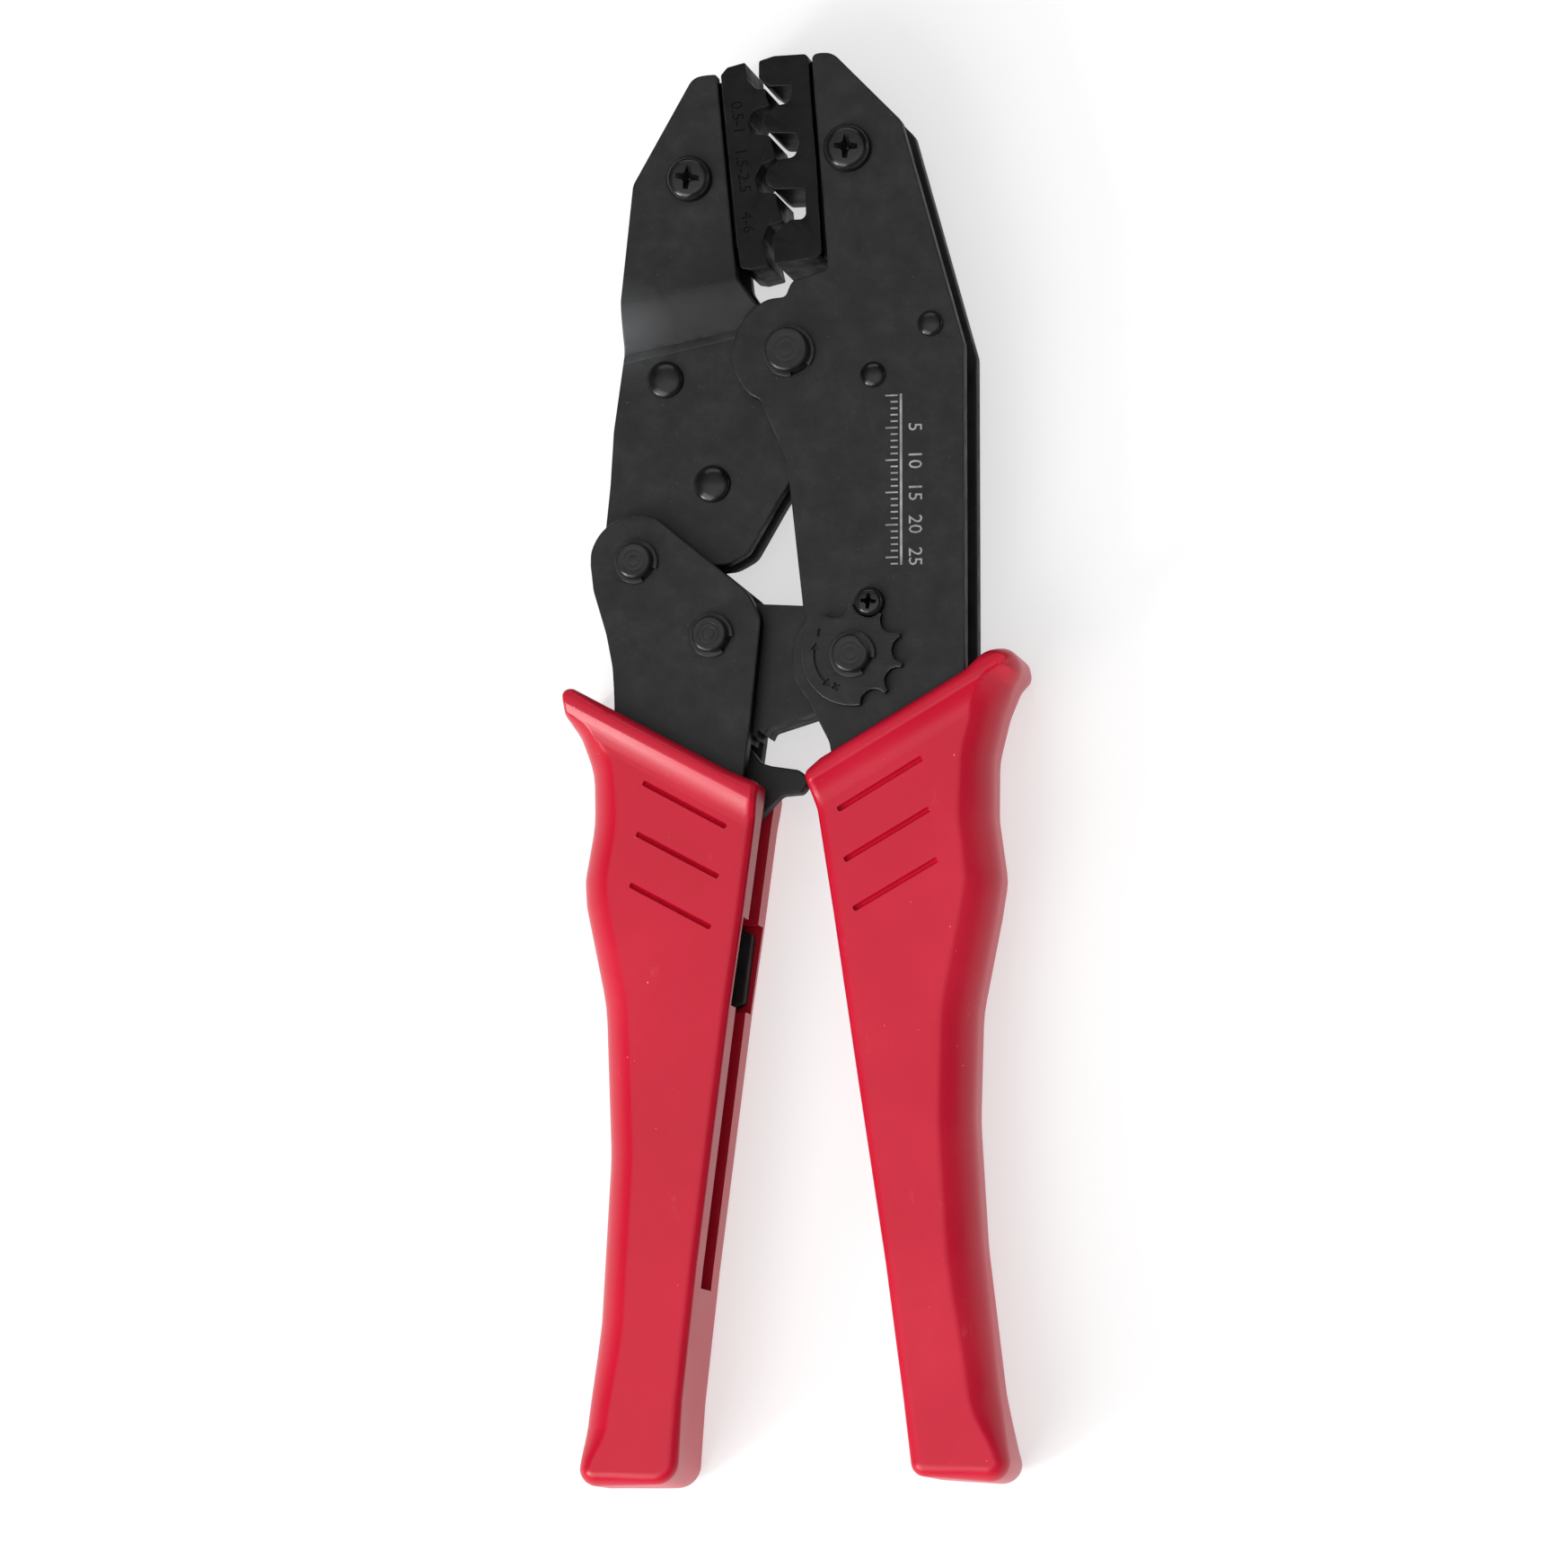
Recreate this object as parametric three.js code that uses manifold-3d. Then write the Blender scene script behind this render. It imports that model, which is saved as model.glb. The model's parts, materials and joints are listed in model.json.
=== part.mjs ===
// Ratchet crimping pliers for insulated cable lugs, lying on their back.
// Millimetres. +Z is up, out of the front face; +Y runs from the grips towards the jaws.
// Outlines are written from the main pivot; the last lines move the origin to the base centre.
import * as THREE from 'three';
import { mergeVertices } from 'three/addons/utils/BufferGeometryUtils.js';
import Module from 'manifold-3d';

const wasm = await Module();
wasm.setup();

// ---------- driving dimensions ----------
const MID = 10.25;            // height of the tool's middle plane above its back
const GRIP_T = 20.5;          // grip thickness
const OUT_IN = 4.35;          // outer plates: inner and outer face, from the middle plane
const OUT_OUT = 7.15;
const JAW_IN = 1.7;           // jaw plates below the joggle
const JAW_OUT = 4.2;
const JOGGLE = 2.95;          // offset of the jaw plates above the joggle
const LINK_IN = 0.1;          // the two link plates
const LINK_OUT = 3.9;
const RUN = 0.05;             // radial clearance of a pin in its hole
const PLAY = 1.15;            // extra radius of the opened pivot in the jaw plates

const A = [0, 0];             // main pivot
const B = [-23.9, -31.9];     // jaw to lever
const C = [-12.1, -43.6];     // lever to toggle link
const D = [9.7, -47.4];       // toggle link on the adjuster's journal
const WHEEL = [10.1, -47.4];  // adjuster wheel and shank
const PAWL = [-10.4, -68.8];   // pawl pivot in the lever
const R_MAIN = 3.4;
const R_PIN = 2.75;
const R_SHANK = 2.9;
const R_JOURNAL = 3.7;
const R_TEETH = 17;           // tip radius of the ratchet teeth about C
const TOOTH = 1.2;
const TEETH = 13;
const TEETH_FROM = -119;
const TEETH_TO = -61;

const DIE_SCREW_FIXED = [9.2, 31.3];
const DIE_SCREW_MOVING = [-15.6, 27.5];
const LOCK_SCREW = [12.6, -39.3];
const FRAME_RIVETS = [[22.0, 3.5], [13.1, -4.1]];
const JAW_RIVETS = [[-20.0, -3.2], [-12.6, -19.7]];
const LEVER_TAIL_PIN = [-21.0, -130];
const FRAME_TAIL_PIN = [20.2, -130];
const SPRING_POST = [-20.6, -84.0];
const LINK_RIVET = [-8.4, -51.6];

// ---------- materials ----------
const paint = (color, metalness, roughness) =>
  new THREE.MeshStandardMaterial({ color, metalness, roughness });
const BLACK = paint(0x2b2c2e, 0.8, 0.5);
const DIE = paint(0x303133, 0.8, 0.42);
const PIN = paint(0x8b8d90, 0.95, 0.3);
const RED = paint(0xd1213a, 0.0, 0.45);
const SPRING = paint(0x9a9c9f, 0.95, 0.3);

// ---------- solids ----------
const DEG = Math.PI / 180;
const front = (near, far) => [MID + near, MID + far];
const back = (near, far) => [MID - far, MID - near];

function solid(geometry) {
  const plain = geometry.clone();
  for (const name of ['normal', 'uv']) plain.deleteAttribute(name);
  const merged = mergeVertices(plain, 1e-4);
  const index = merged.index.array;
  let tris = [];
  for (let i = 0; i < index.length; i += 3) {
    const [a, b, c] = [index[i], index[i + 1], index[i + 2]];
    if (a !== b && b !== c && a !== c) tris.push(a, b, c);
  }
  const build = (order) => new wasm.Manifold(new wasm.Mesh({
    numProp: 3,
    vertProperties: new Float32Array(merged.attributes.position.array),
    triVerts: new Uint32Array(order),
  }));
  const made = build(tris);
  if (made.volume() > 0) return made;
  for (let i = 0; i < tris.length; i += 3) [tris[i], tris[i + 1]] = [tris[i + 1], tris[i]];
  return build(tris);
}

const cut = (body, ...tools) => tools.reduce((left, tool) => left.subtract(tool), body);
const join = (body, ...more) => more.reduce((left, extra) => left.add(extra), body);

const polar = ([cx, cy], r, degrees) =>
  [cx + r * Math.cos(degrees * DEG), cy + r * Math.sin(degrees * DEG)];

const arc = (cx, cy, r, from, to, steps) =>
  Array.from({ length: steps + 1 }, (_, i) => polar([cx, cy], r, from + (to - from) * i / steps));

// A closed outline whose corners are [x, y, fillet radius].
function outline(corners, step = 30) {
  const points = [];
  const n = corners.length;
  corners.forEach(([x, y, r = 0], i) => {
    if (!r) {
      points.push([x, y]);
      return;
    }
    const before = corners[(i + n - 1) % n];
    const after = corners[(i + 1) % n];
    const la = Math.hypot(before[0] - x, before[1] - y);
    const lb = Math.hypot(after[0] - x, after[1] - y);
    const [ax, ay] = [(before[0] - x) / la, (before[1] - y) / la];
    const [bx, by] = [(after[0] - x) / lb, (after[1] - y) / lb];
    const half = Math.acos(Math.max(-1, Math.min(1, ax * bx + ay * by))) / 2;
    const reach = Math.min(r / Math.tan(half), 0.48 * la, 0.48 * lb);
    const fillet = reach * Math.tan(half);
    const ml = Math.hypot(ax + bx, ay + by);
    const out = fillet / Math.sin(half);
    const [cx, cy] = [x + (ax + bx) / ml * out, y + (ay + by) / ml * out];
    const start = Math.atan2(y + ay * reach - cy, x + ax * reach - cx);
    const end = Math.atan2(y + by * reach - cy, x + bx * reach - cx);
    let sweep = end - start;
    if (sweep > Math.PI) sweep -= 2 * Math.PI;
    if (sweep < -Math.PI) sweep += 2 * Math.PI;
    const steps = Math.max(1, Math.ceil(Math.abs(sweep) / (step * DEG)));
    points.push(...arc(cx, cy, fillet, start / DEG, (start + sweep) / DEG, steps));
  });
  return points;
}

function slab(points, [z0, z1]) {
  const shape = new THREE.Shape(points.map(([x, y]) => new THREE.Vector2(x, y)));
  const geometry = new THREE.ExtrudeGeometry(shape, { depth: z1 - z0, bevelEnabled: false });
  return solid(geometry.translate(0, 0, z0));
}

// A turned piece on a vertical axis; profile is [radius, height] and closes on the axis.
function turned([x, y], profile, sides = 20) {
  const points = profile.map(([r, z]) => new THREE.Vector2(r, z));
  const geometry = new THREE.LatheGeometry(points, sides);
  return solid(geometry.rotateX(Math.PI / 2).translate(x, y, 0));
}

const rod = (at, r, [z0, z1], sides = 20) =>
  turned(at, [[0, z0], [r, z0], [r, z1], [0, z1]], sides);

const block = (x0, x1, y0, y1, [z0, z1]) =>
  slab([[x0, y0], [x1, y0], [x1, y1], [x0, y1]], [z0, z1]);

const group = new THREE.Group();
function piece(name, body, material) {
  const mesh = body.getMesh();
  const geometry = new THREE.BufferGeometry();
  const at = new Float32Array(mesh.triVerts.length * 3);
  mesh.triVerts.forEach((v, i) => {
    for (let k = 0; k < 3; k++) at[3 * i + k] = mesh.vertProperties[mesh.numProp * v + k];
  });
  geometry.setAttribute('position', new THREE.BufferAttribute(at, 3));
  geometry.computeVertexNormals();
  const made = new THREE.Mesh(geometry, material);
  made.name = name;
  group.add(made);
}

// ---------- fasteners ----------
const FRONT = MID + OUT_OUT;
const REAR = MID - OUT_OUT;
const GROOVE = 0.8;
const PIN_HEAD = 2.2;

// Headed pin with a snap-ring groove above the surface the ring sits on.
function ringPin(at, r, top = FRONT, head = PIN_HEAD) {
  const flange = r + 0.9;
  const end = top + head;
  return turned(at, [
    [0, REAR - 1.1], [flange, REAR - 1.1], [flange, REAR - 0.05], [r, REAR - 0.05],
    [r, top + 0.02], [r - 0.4, top + 0.02], [r - 0.4, top + GROOVE], [r, top + GROOVE],
    [r, end - 0.35], [r - 0.35, end], [0, end],
  ]);
}

function snapRing([x, y], r, outer, open, top = FRONT) {
  const span = [top + 0.08, top + GROOVE - 0.08];
  const ring = cut(rod([x, y], outer, span), rod([x, y], r - 0.3, [top - 1, top + 2]));
  const gap = slab([
    [x, y],
    [x + 2 * outer * Math.cos((open - 24) * DEG), y + 2 * outer * Math.sin((open - 24) * DEG)],
    [x + 2 * outer * Math.cos((open + 24) * DEG), y + 2 * outer * Math.sin((open + 24) * DEG)],
  ], [top - 1, top + 2]);
  return cut(ring, gap);
}

// Rivet with a low domed head on each side of the plates it closes.
function rivet(at, shank, head, rise, [z0, z1]) {
  const dome = (z, way) => [
    [head, z], [head * 0.87, z + way * rise * 0.5], [head * 0.5, z + way * rise * 0.87],
  ];
  const lower = dome(z0 - 0.04, -1).reverse();
  const upper = dome(z1 + 0.04, 1);
  return turned(at, [
    [0, z0 - 0.04 - rise], ...lower, [shank, z0 - 0.04], [shank, z1 + 0.04], ...upper,
    [0, z1 + 0.04 + rise],
  ], 12);
}

// Pan-head screw with a cross recess; the tip stops inside the rear plate.
function panScrew(at, shank, head, rise, tip, turn) {
  const body = turned(at, [
    [0, tip], [shank, tip], [shank, FRONT + 0.04], [head, FRONT + 0.04], [head, FRONT + rise * 0.42],
    [head * 0.8, FRONT + rise], [0, FRONT + rise],
  ], 16);
  const bars = [0, 90].map((a) => {
    const bar = new THREE.BoxGeometry(head * 1.15, head * 0.3, rise * 1.1);
    bar.rotateZ((turn + a) * DEG);
    return solid(bar.translate(at[0], at[1], FRONT + rise));
  });
  return cut(body, ...bars);
}

// ---------- fixed frame ----------
const FRAME = outline([
  [3.5, 46.4, 0.9], [6.6, 46.7, 3.2], [17.5, 35.4, 2.2], [27.2, 0.2, 3], [27.3, -48.7], [27.2, -62],
  [26.4, -80], [24.6, -100], [24.3, -125], [25.6, -148, 3], [20.2, -150, 3], [17.7, -138],
  [13.3, -110], [9.9, -86], [7.4, -68], [6.2, -60.5, 4],
  ...arc(WHEEL[0], WHEEL[1], 9.75, 222, 142, 6), [2.1, -39.4, 4], [0.1, -21.6], [-0.4, -16.7, 6],
  ...arc(0, 0, 8.9, 240, 112, 9), [-0.6, 8.6, 1], [0.4, 11.0, 1.6], [6.0, 12.6, 1], [6.0, 14.6],
]);
const frameHoles = [
  rod(A, R_MAIN + RUN, [-5, 30]),
  rod(WHEEL, R_SHANK + RUN, [-5, 30]),
  rod(DIE_SCREW_FIXED, 2.05, [-5, 30], 16),
  ...FRAME_RIVETS.map((at) => rod(at, 1.35, [-5, 30], 16)),
  rod(FRAME_TAIL_PIN, 2.05, [-5, 30], 16),
];
piece('frame_plate_front', cut(
  slab(FRAME, front(OUT_IN, OUT_OUT)), ...frameHoles, rod(LOCK_SCREW, 1.3, [-5, 30], 12),
), BLACK);
piece('frame_plate_back', cut(slab(FRAME, back(OUT_IN, OUT_OUT)), ...frameHoles), BLACK);

const between = [MID - OUT_IN + 0.1, MID + OUT_IN - 0.1];
piece('frame_spacer', cut(
  slab(outline([
    [10.6, -8, 2], [10.4, -1.5, 4], [13.0, 5, 4], [17.4, 9.6, 2], [23.0, 9.6, 2], [25.6, 0.6, 3],
    [25.7, -30, 2], [20.5, -30, 3], [14.5, -14, 5],
  ]), between),
  ...FRAME_RIVETS.map((at) => rod(at, 1.35, [-5, 30], 16)),
), BLACK);
FRAME_RIVETS.forEach((at, i) => piece(
  `frame_rivet_${['upper', 'lower'][i]}`, rivet(at, 1.3, 1.95, 0.8, [REAR, FRONT]), BLACK,
));

piece('main_pivot_pin', ringPin(A, R_MAIN, FRONT, 2.6), PIN);
piece('main_pivot_ring', snapRing(A, R_MAIN, 4.05, -60), PIN);

const tailPin = (at) => cut(rod(at, 2, [REAR + 0.1, FRONT - 0.1], 16));
const tailTube = (at) => cut(rod(at, 3.6, between, 16), rod(at, 2.05, [-5, 30], 16));
piece('fixed_tail_pin', tailPin(FRAME_TAIL_PIN), PIN);
piece('fixed_tail_spacer', tailTube(FRAME_TAIL_PIN), BLACK);

// ---------- adjuster: eccentric journal, notched wheel, lock screw ----------
const WHEEL_TOP = FRONT + 1.6;
const adjuster = join(
  ringPin(WHEEL, R_SHANK, WHEEL_TOP, 2.0),
  rod(D, R_JOURNAL, [between[0] + 0.05, between[1] - 0.05]),
);
const flat = new THREE.BoxGeometry(4, 8, 4);
flat.rotateZ(40 * DEG);
flat.translate(WHEEL[0] + 4.2 * Math.cos(40 * DEG), WHEEL[1] + 4.2 * Math.sin(40 * DEG), WHEEL_TOP + 3);
piece('adjuster_pin', cut(adjuster, solid(flat)), PIN);
piece('adjuster_ring', snapRing(WHEEL, R_SHANK, 3.6, -35, WHEEL_TOP), PIN);

const wheelSpan = [FRONT + 0.06, WHEEL_TOP];
// A disc with six scallops in one side; its corners are eased by shrinking and growing it back.
const disc = new wasm.CrossSection([arc(WHEEL[0], WHEEL[1], 7.85, 0, 351, 39)]);
const scallops = Array.from({ length: 6 }, (_, i) => {
  const underScrew = i === 1;
  const [x, y] = underScrew ? LOCK_SCREW : polar(WHEEL, 8.15, 109 - 35 * i);
  return new wasm.CrossSection([arc(x, y, underScrew ? 2.5 : 2.1, 0, 340, 17)]);
});
const eased = scallops.reduce((left, cutter) => left.subtract(cutter), disc)
  .offset(-0.22, 'Round', 2, 12).offset(0.22, 'Round', 2, 12);
const wheelBody = eased.extrude(wheelSpan[1] - wheelSpan[0]).translate([0, 0, wheelSpan[0]]);
piece('adjuster_wheel', cut(wheelBody, rod(WHEEL, R_SHANK + RUN, [FRONT - 1, 22])), BLACK);
piece('adjuster_lock_screw', panScrew(LOCK_SCREW, 1.25, 2.3, 1.9, MID + OUT_IN + 0.2, 20), BLACK);

// ---------- dies ----------
// Two crimp nests and a cutting step each; the projections of one face the hollows of the other.
const dieSpan = [REAR + 0.15, FRONT - 0.15];
const FIXED_DIE = outline([
  [-4.8, 45.7, 0.5], [-2.4, 46.4, 2], [2.9, 46.5, 0.8], [3.5, 38.0], [4.2, 29.5], [5.1, 14.6, 1.2],
  [-2.3, 13.7, 0.5], [-2.6, 17.8, 1.5], [-1.5, 19.4, 2], [0.2, 20.6, 1], [2.6, 20.6, 1], [2.5, 25.4, 1],
  [-2.3, 25.4, 1.2], [-3.7, 26.6, 1], [-3.5, 28.3, 1.5], [-1.7, 30.1, 1], [0.8, 30.4, 1.2],
  [1.6, 32.4, 1.2], [0.9, 34.1, 0.7], [-2.8, 34.3, 1.2], [-4.2, 35.5, 1], [-3.9, 37.2, 1.5],
  [-2.0, 38.6, 1], [-0.2, 38.9, 1], [0.5, 40.4, 0.6], [0.2, 41.6, 0.3], [-3.0, 41.6, 1],
  [-4.8, 42.9, 0.6],
], 30);
const FIXED_TONGUE = outline([
  [0.5, 45.4], [2.8, 45.9], [6.2, 45.2, 1], [15.4, 35, 2], [18.4, 22, 2], [17.6, 16.4, 1.5], [4.8, 15.0],
  [0.5, 15.0],
]);
const tongueSpan = [MID - OUT_IN + 0.1, MID + OUT_IN - 0.1];
piece('fixed_die', cut(
  join(slab(FIXED_DIE, dieSpan), slab(FIXED_TONGUE, tongueSpan).subtract(
    block(-2, 2.4, 10, 50, [0, 30]),
  )),
  rod(DIE_SCREW_FIXED, 2.05, [-5, 30], 16),
), DIE);
piece('fixed_die_screw', panScrew(DIE_SCREW_FIXED, 2, 3.7, 2.0, REAR + 0.5, 12), BLACK);

const MOVING_DIE = outline([
  [-10.8, 43.7, 0.6], [-9.8, 44.9, 1], [-6.9, 45.6, 0.3], [-6.7, 42.9, 1.2], [-5.3, 41.4, 1],
  [-3.7, 41.3, 0.3], [-3.7, 40.3], [-3.1, 38.7, 0.2], [-5.6, 38.0, 1.2], [-6.5, 36.3, 1.2],
  [-6.0, 34.3, 1], [-3.1, 33.9, 0.3], [-2.9, 33.0], [-2.1, 30.3, 0.2], [-4.4, 29.4, 1.2],
  [-5.4, 27.5, 1.2], [-4.8, 25.1, 0.9], [-2.1, 24.8, 0.3], [-1.9, 23.3], [-1.0, 20.4, 0.2],
  [-3.3, 19.9, 1.2], [-4.3, 17.8, 1.2], [-3.3, 13.6, 0.3], [-6.0, 13.0, 1], [-7.6, 13.3, 0.7],
  [-8.0, 15.6],
], 30);
const MOVING_TONGUE = outline([
  [-8.6, 43.2], [-13.8, 43.0, 1], [-22.8, 28, 2], [-23.6, 18.4, 2], [-8.2, 16.8],
]);
const headHalf = JAW_IN + JOGGLE - 0.1;
piece('moving_die', cut(
  join(slab(MOVING_DIE, dieSpan), slab(MOVING_TONGUE, [MID - headHalf, MID + headHalf])),
  rod(DIE_SCREW_MOVING, 2.05, [-5, 30], 16),
), DIE);
piece('moving_die_screw', panScrew(DIE_SCREW_MOVING, 2, 3.55, 2.0, REAR + 0.5, -8), BLACK);

// ---------- moving jaw: two joggled plates ----------
const JAW = outline([
  [-15.1, 43.7, 2.6], [-11.4, 43.9, 0.5], [-8.9, 18.0], [-8.2, 11.8, 2], [-5.0, 7.2, 2], [-1, 8.6, 2],
  ...arc(0, 0, 8.4, 80, -50, 8), [1.6, -16.5, 6], [-2.5, -22.9, 2], [-7.0, -30.6, 3], [-10.0, -32.2, 3],
  [-15.5, -32.8, 5], ...arc(B[0], B[1], 6.6, 325, 190, 7), [-29.4, -26.2, 6], [-28.7, -19.3, 8],
  [-28.2, -10.9, 8], [-26.4, 2, 6], [-26.5, 8.9, 6], [-24.6, 27, 3],
]);
const BEND = 11 * DEG;        // the joggle runs across the plate at this slope
const BEND_LOW = 6.2;
const BEND_HIGH = 13.4;
function joggledSheet() {
  const profile = [
    [-60, JAW_IN], [BEND_LOW, JAW_IN], [BEND_HIGH, JAW_IN + JOGGLE], [60, JAW_IN + JOGGLE],
    [60, JAW_OUT + JOGGLE], [BEND_HIGH - 0.6, JAW_OUT + JOGGLE], [BEND_LOW - 0.6, JAW_OUT], [-60, JAW_OUT],
  ];
  const shape = new THREE.Shape(profile.map(([v, z]) => new THREE.Vector2(v, z)));
  const sheet = new THREE.ExtrudeGeometry(shape, { depth: 120, bevelEnabled: false });
  sheet.translate(0, 0, -60);
  const across = new THREE.Vector3(Math.cos(BEND), Math.sin(BEND), 0);
  const along = new THREE.Vector3(-Math.sin(BEND), Math.cos(BEND), 0);
  const up = new THREE.Vector3(0, 0, 1);
  sheet.applyMatrix4(new THREE.Matrix4().makeBasis(along, up, across));
  return solid(sheet);
}
const jawPlate = cut(
  slab(JAW, [-1, 8]).intersect(joggledSheet()),
  rod(A, 9.3, [JAW_OUT + 0.01, 12], 32),
  rod(A, R_MAIN + RUN, [-5, 30]),
  rod(B, R_PIN + PLAY, [-5, 30]),
  rod(DIE_SCREW_MOVING, 2.05, [-5, 30], 16),
  ...JAW_RIVETS.map((at) => rod(at, 2.05, [-5, 30], 16)),
);
piece('jaw_plate_front', jawPlate.translate([0, 0, MID]), BLACK);
piece('jaw_plate_back', jawPlate.mirror([0, 0, 1]).translate([0, 0, MID]), BLACK);

const jawGap = [MID - JAW_IN + 0.1, MID + JAW_IN - 0.1];
piece('jaw_spacer', cut(
  slab(outline([
    [-25.6, -1, 3], [-24, 4, 3], [-15.5, 3.4, 4], [-8.5, -9.5, 6], [-4.4, -20, 3], [-8.4, -27, 3],
    [-17.5, -24, 6], [-25.8, -12, 6],
  ]), jawGap),
  rod(A, 9.0, [-5, 30], 24),
  ...JAW_RIVETS.map((at) => rod(at, 2.05, [-5, 30], 16)),
), BLACK);
piece('jaw_pivot_bush', cut(rod(A, 7.6, jawGap), rod(A, R_MAIN + RUN, [-5, 30])), PIN);
JAW_RIVETS.forEach((at, i) => piece(
  `jaw_rivet_${['upper', 'lower'][i]}`, rivet(at, 2, 2.83, 1.1, [MID - JAW_OUT, MID + JAW_OUT]), BLACK,
));

// ---------- moving handle: two lever plates ----------
const LEVER = outline([
  ...arc(B[0], B[1], 7.3, 170, 62, 6), [-6.6, -36.9, 4], [-4.4, -41.0, 4], [-5.2, -49], [-6.2, -58.6],
  [-7.0, -64.4, 8], [-10.0, -85.9], [-10.1, -87.4], [-8.0, -88.4, 0.6], [-9.4, -99.0, 0.6], [-11.8, -100.2],
  [-16.6, -138], [-18.4, -148, 3], [-24.6, -150, 3], [-24.6, -125], [-24.8, -105], [-27.0, -85],
  [-27.4, -72], [-27.3, -54], [-27.6, -48.2, 10], [-28.6, -43, 10], [-30.7, -36, 6],
]);
const leverHoles = [
  rod(B, R_PIN + 0.02, [-5, 30]),
  rod(C, R_PIN + RUN, [-5, 30]),
  rod(PAWL, 1.55, [-5, 30], 16),
  rod(SPRING_POST, 1.05, [-5, 30], 12),
  rod(LEVER_TAIL_PIN, 2.05, [-5, 30], 16),
];
piece('lever_plate_front', cut(slab(LEVER, front(OUT_IN, OUT_OUT)), ...leverHoles), BLACK);
piece('lever_plate_back', cut(slab(LEVER, back(OUT_IN, OUT_OUT)), ...leverHoles), BLACK);
piece('jaw_link_pin', ringPin(B, R_PIN), PIN);
piece('jaw_link_ring', snapRing(B, R_PIN, 3.45, -45), PIN);
piece('toggle_pin', ringPin(C, R_PIN), PIN);
piece('toggle_ring', snapRing(C, R_PIN, 3.45, -30), PIN);
piece('moving_tail_pin', tailPin(LEVER_TAIL_PIN), PIN);
piece('moving_tail_spacer', tailTube(LEVER_TAIL_PIN), BLACK);
piece('pawl_pin', rod(PAWL, 1.5, [REAR + 0.1, FRONT - 0.1], 16), PIN);
piece('spring_post', rod(SPRING_POST, 1, [REAR + 0.1, FRONT - 0.1], 12), PIN);

// ---------- toggle link with its ratchet ----------
function ratchet() {
  const points = [];
  const pitch = (TEETH_TO - TEETH_FROM) / TEETH;
  for (let i = 0; i < TEETH; i++) {
    const a = TEETH_FROM + pitch * i;
    points.push(polar(C, R_TEETH - TOOTH, a), polar(C, R_TEETH, a + pitch * 0.5));
  }
  return points;
}
const LINK = [
  ...ratchet(), [-3.6, -57.6], [4.2, -55.3],
  ...arc(WHEEL[0] - 0.2, WHEEL[1], 8.3, -105, 98, 12), [-4.8, -38.5], [-12.1, -37.2],
  ...arc(C[0], C[1], 6.5, 105, 185, 5), [-20.6, -55.6],
];
const linkHoles = [
  rod(C, R_PIN + RUN, [-5, 30]),
  rod(D, R_JOURNAL + RUN, [-5, 30]),
  rod(LINK_RIVET, 1.55, [-5, 30], 14),
];
piece('link_plate_front', cut(slab(LINK, front(LINK_IN, LINK_OUT)), ...linkHoles), BLACK);
piece('link_plate_back', cut(slab(LINK, back(LINK_IN, LINK_OUT)), ...linkHoles), BLACK);
piece('link_rivet', rod(LINK_RIVET, 1.5, [MID - LINK_OUT, MID + LINK_OUT], 14), PIN);

// ---------- pawl, with the thumb tab that releases it ----------
const tipAt = -74 * DEG;
const tipR = R_TEETH + 0.35;
const tip = [C[0] + tipR * Math.cos(tipAt), C[1] + tipR * Math.sin(tipAt)];
const PAWL_SHAPE = outline([
  [tip[0], tip[1], 0.2], [tip[0] + 1.8, tip[1] - 2.4, 1], [-3.9, -63.2, 1], [0.4, -63.9, 1.3],
  [2.1, -65.5, 1.1], [0.9, -67.5, 1.1], [-2.4, -67.7, 1.6], [-5.6, -71.0, 2], [-10.0, -74.6, 1.6],
  [-13.6, -73.2, 1.6], [-13.8, -68.6, 2.4], [-10.6, -64.2, 2],
]);
piece('pawl', cut(slab(PAWL_SHAPE, [MID - 1.6, MID + 1.6]), rod(PAWL, 1.55, [-5, 30], 16)), BLACK);

// ---------- grips ----------
const half = GRIP_T / 2;
const INNER_R = 1.6;
const OUTER_R = 6.6;
// One ring of the grip's section: tight corners inside, full rounding where the fingers close.
function gripRing(y, inner, outer) {
  const way = Math.sign(outer - inner);
  const corner = (x, z, r, from, to, steps) =>
    arc(0, 0, r, from, to, steps).map(([u, v]) => [x + way * u, y, z + v]);
  const [ci, co] = [inner + way * INNER_R, outer - way * OUTER_R];
  return [
    ...corner(ci, half - INNER_R, INNER_R, 180, 90, 2),
    ...corner(co, half - OUTER_R, OUTER_R, 90, 0, 4),
    ...corner(co, OUTER_R - half, OUTER_R, 0, -90, 4),
    ...corner(ci, INNER_R - half, INNER_R, -90, -180, 2),
  ].map(([x, yy, z]) => [x, yy, z + MID]);
}

function gripLoft(stations) {
  const rings = stations.map(([y, inner, outer]) => gripRing(y, inner, outer));
  const n = rings[0].length;
  const positions = rings.flat(2);
  const index = [];
  for (let i = 0; i + 1 < rings.length; i++) {
    for (let j = 0; j < n; j++) {
      const [a, b] = [i * n + j, i * n + (j + 1) % n];
      index.push(a, b, b + n, a, b + n, a + n);
    }
  }
  const last = (rings.length - 1) * n;
  for (let j = 1; j + 1 < n; j++) {
    index.push(0, j + 1, j, last, last + j, last + j + 1);
  }
  const geometry = new THREE.BufferGeometry();
  geometry.setAttribute('position', new THREE.Float32BufferAttribute(positions, 3));
  geometry.setIndex(index);
  return solid(geometry);
}

const grooveCut = ([x0, y0], [x1, y1]) => {
  const length = Math.hypot(x1 - x0, y1 - y0);
  const bar = new THREE.CylinderGeometry(0.75, 0.75, length, 8);
  bar.rotateZ(Math.atan2(y1 - y0, x1 - x0) - Math.PI / 2);
  return solid(bar.translate((x0 + x1) / 2, (y0 + y1) / 2, GRIP_T + 0.15));
};

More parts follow.
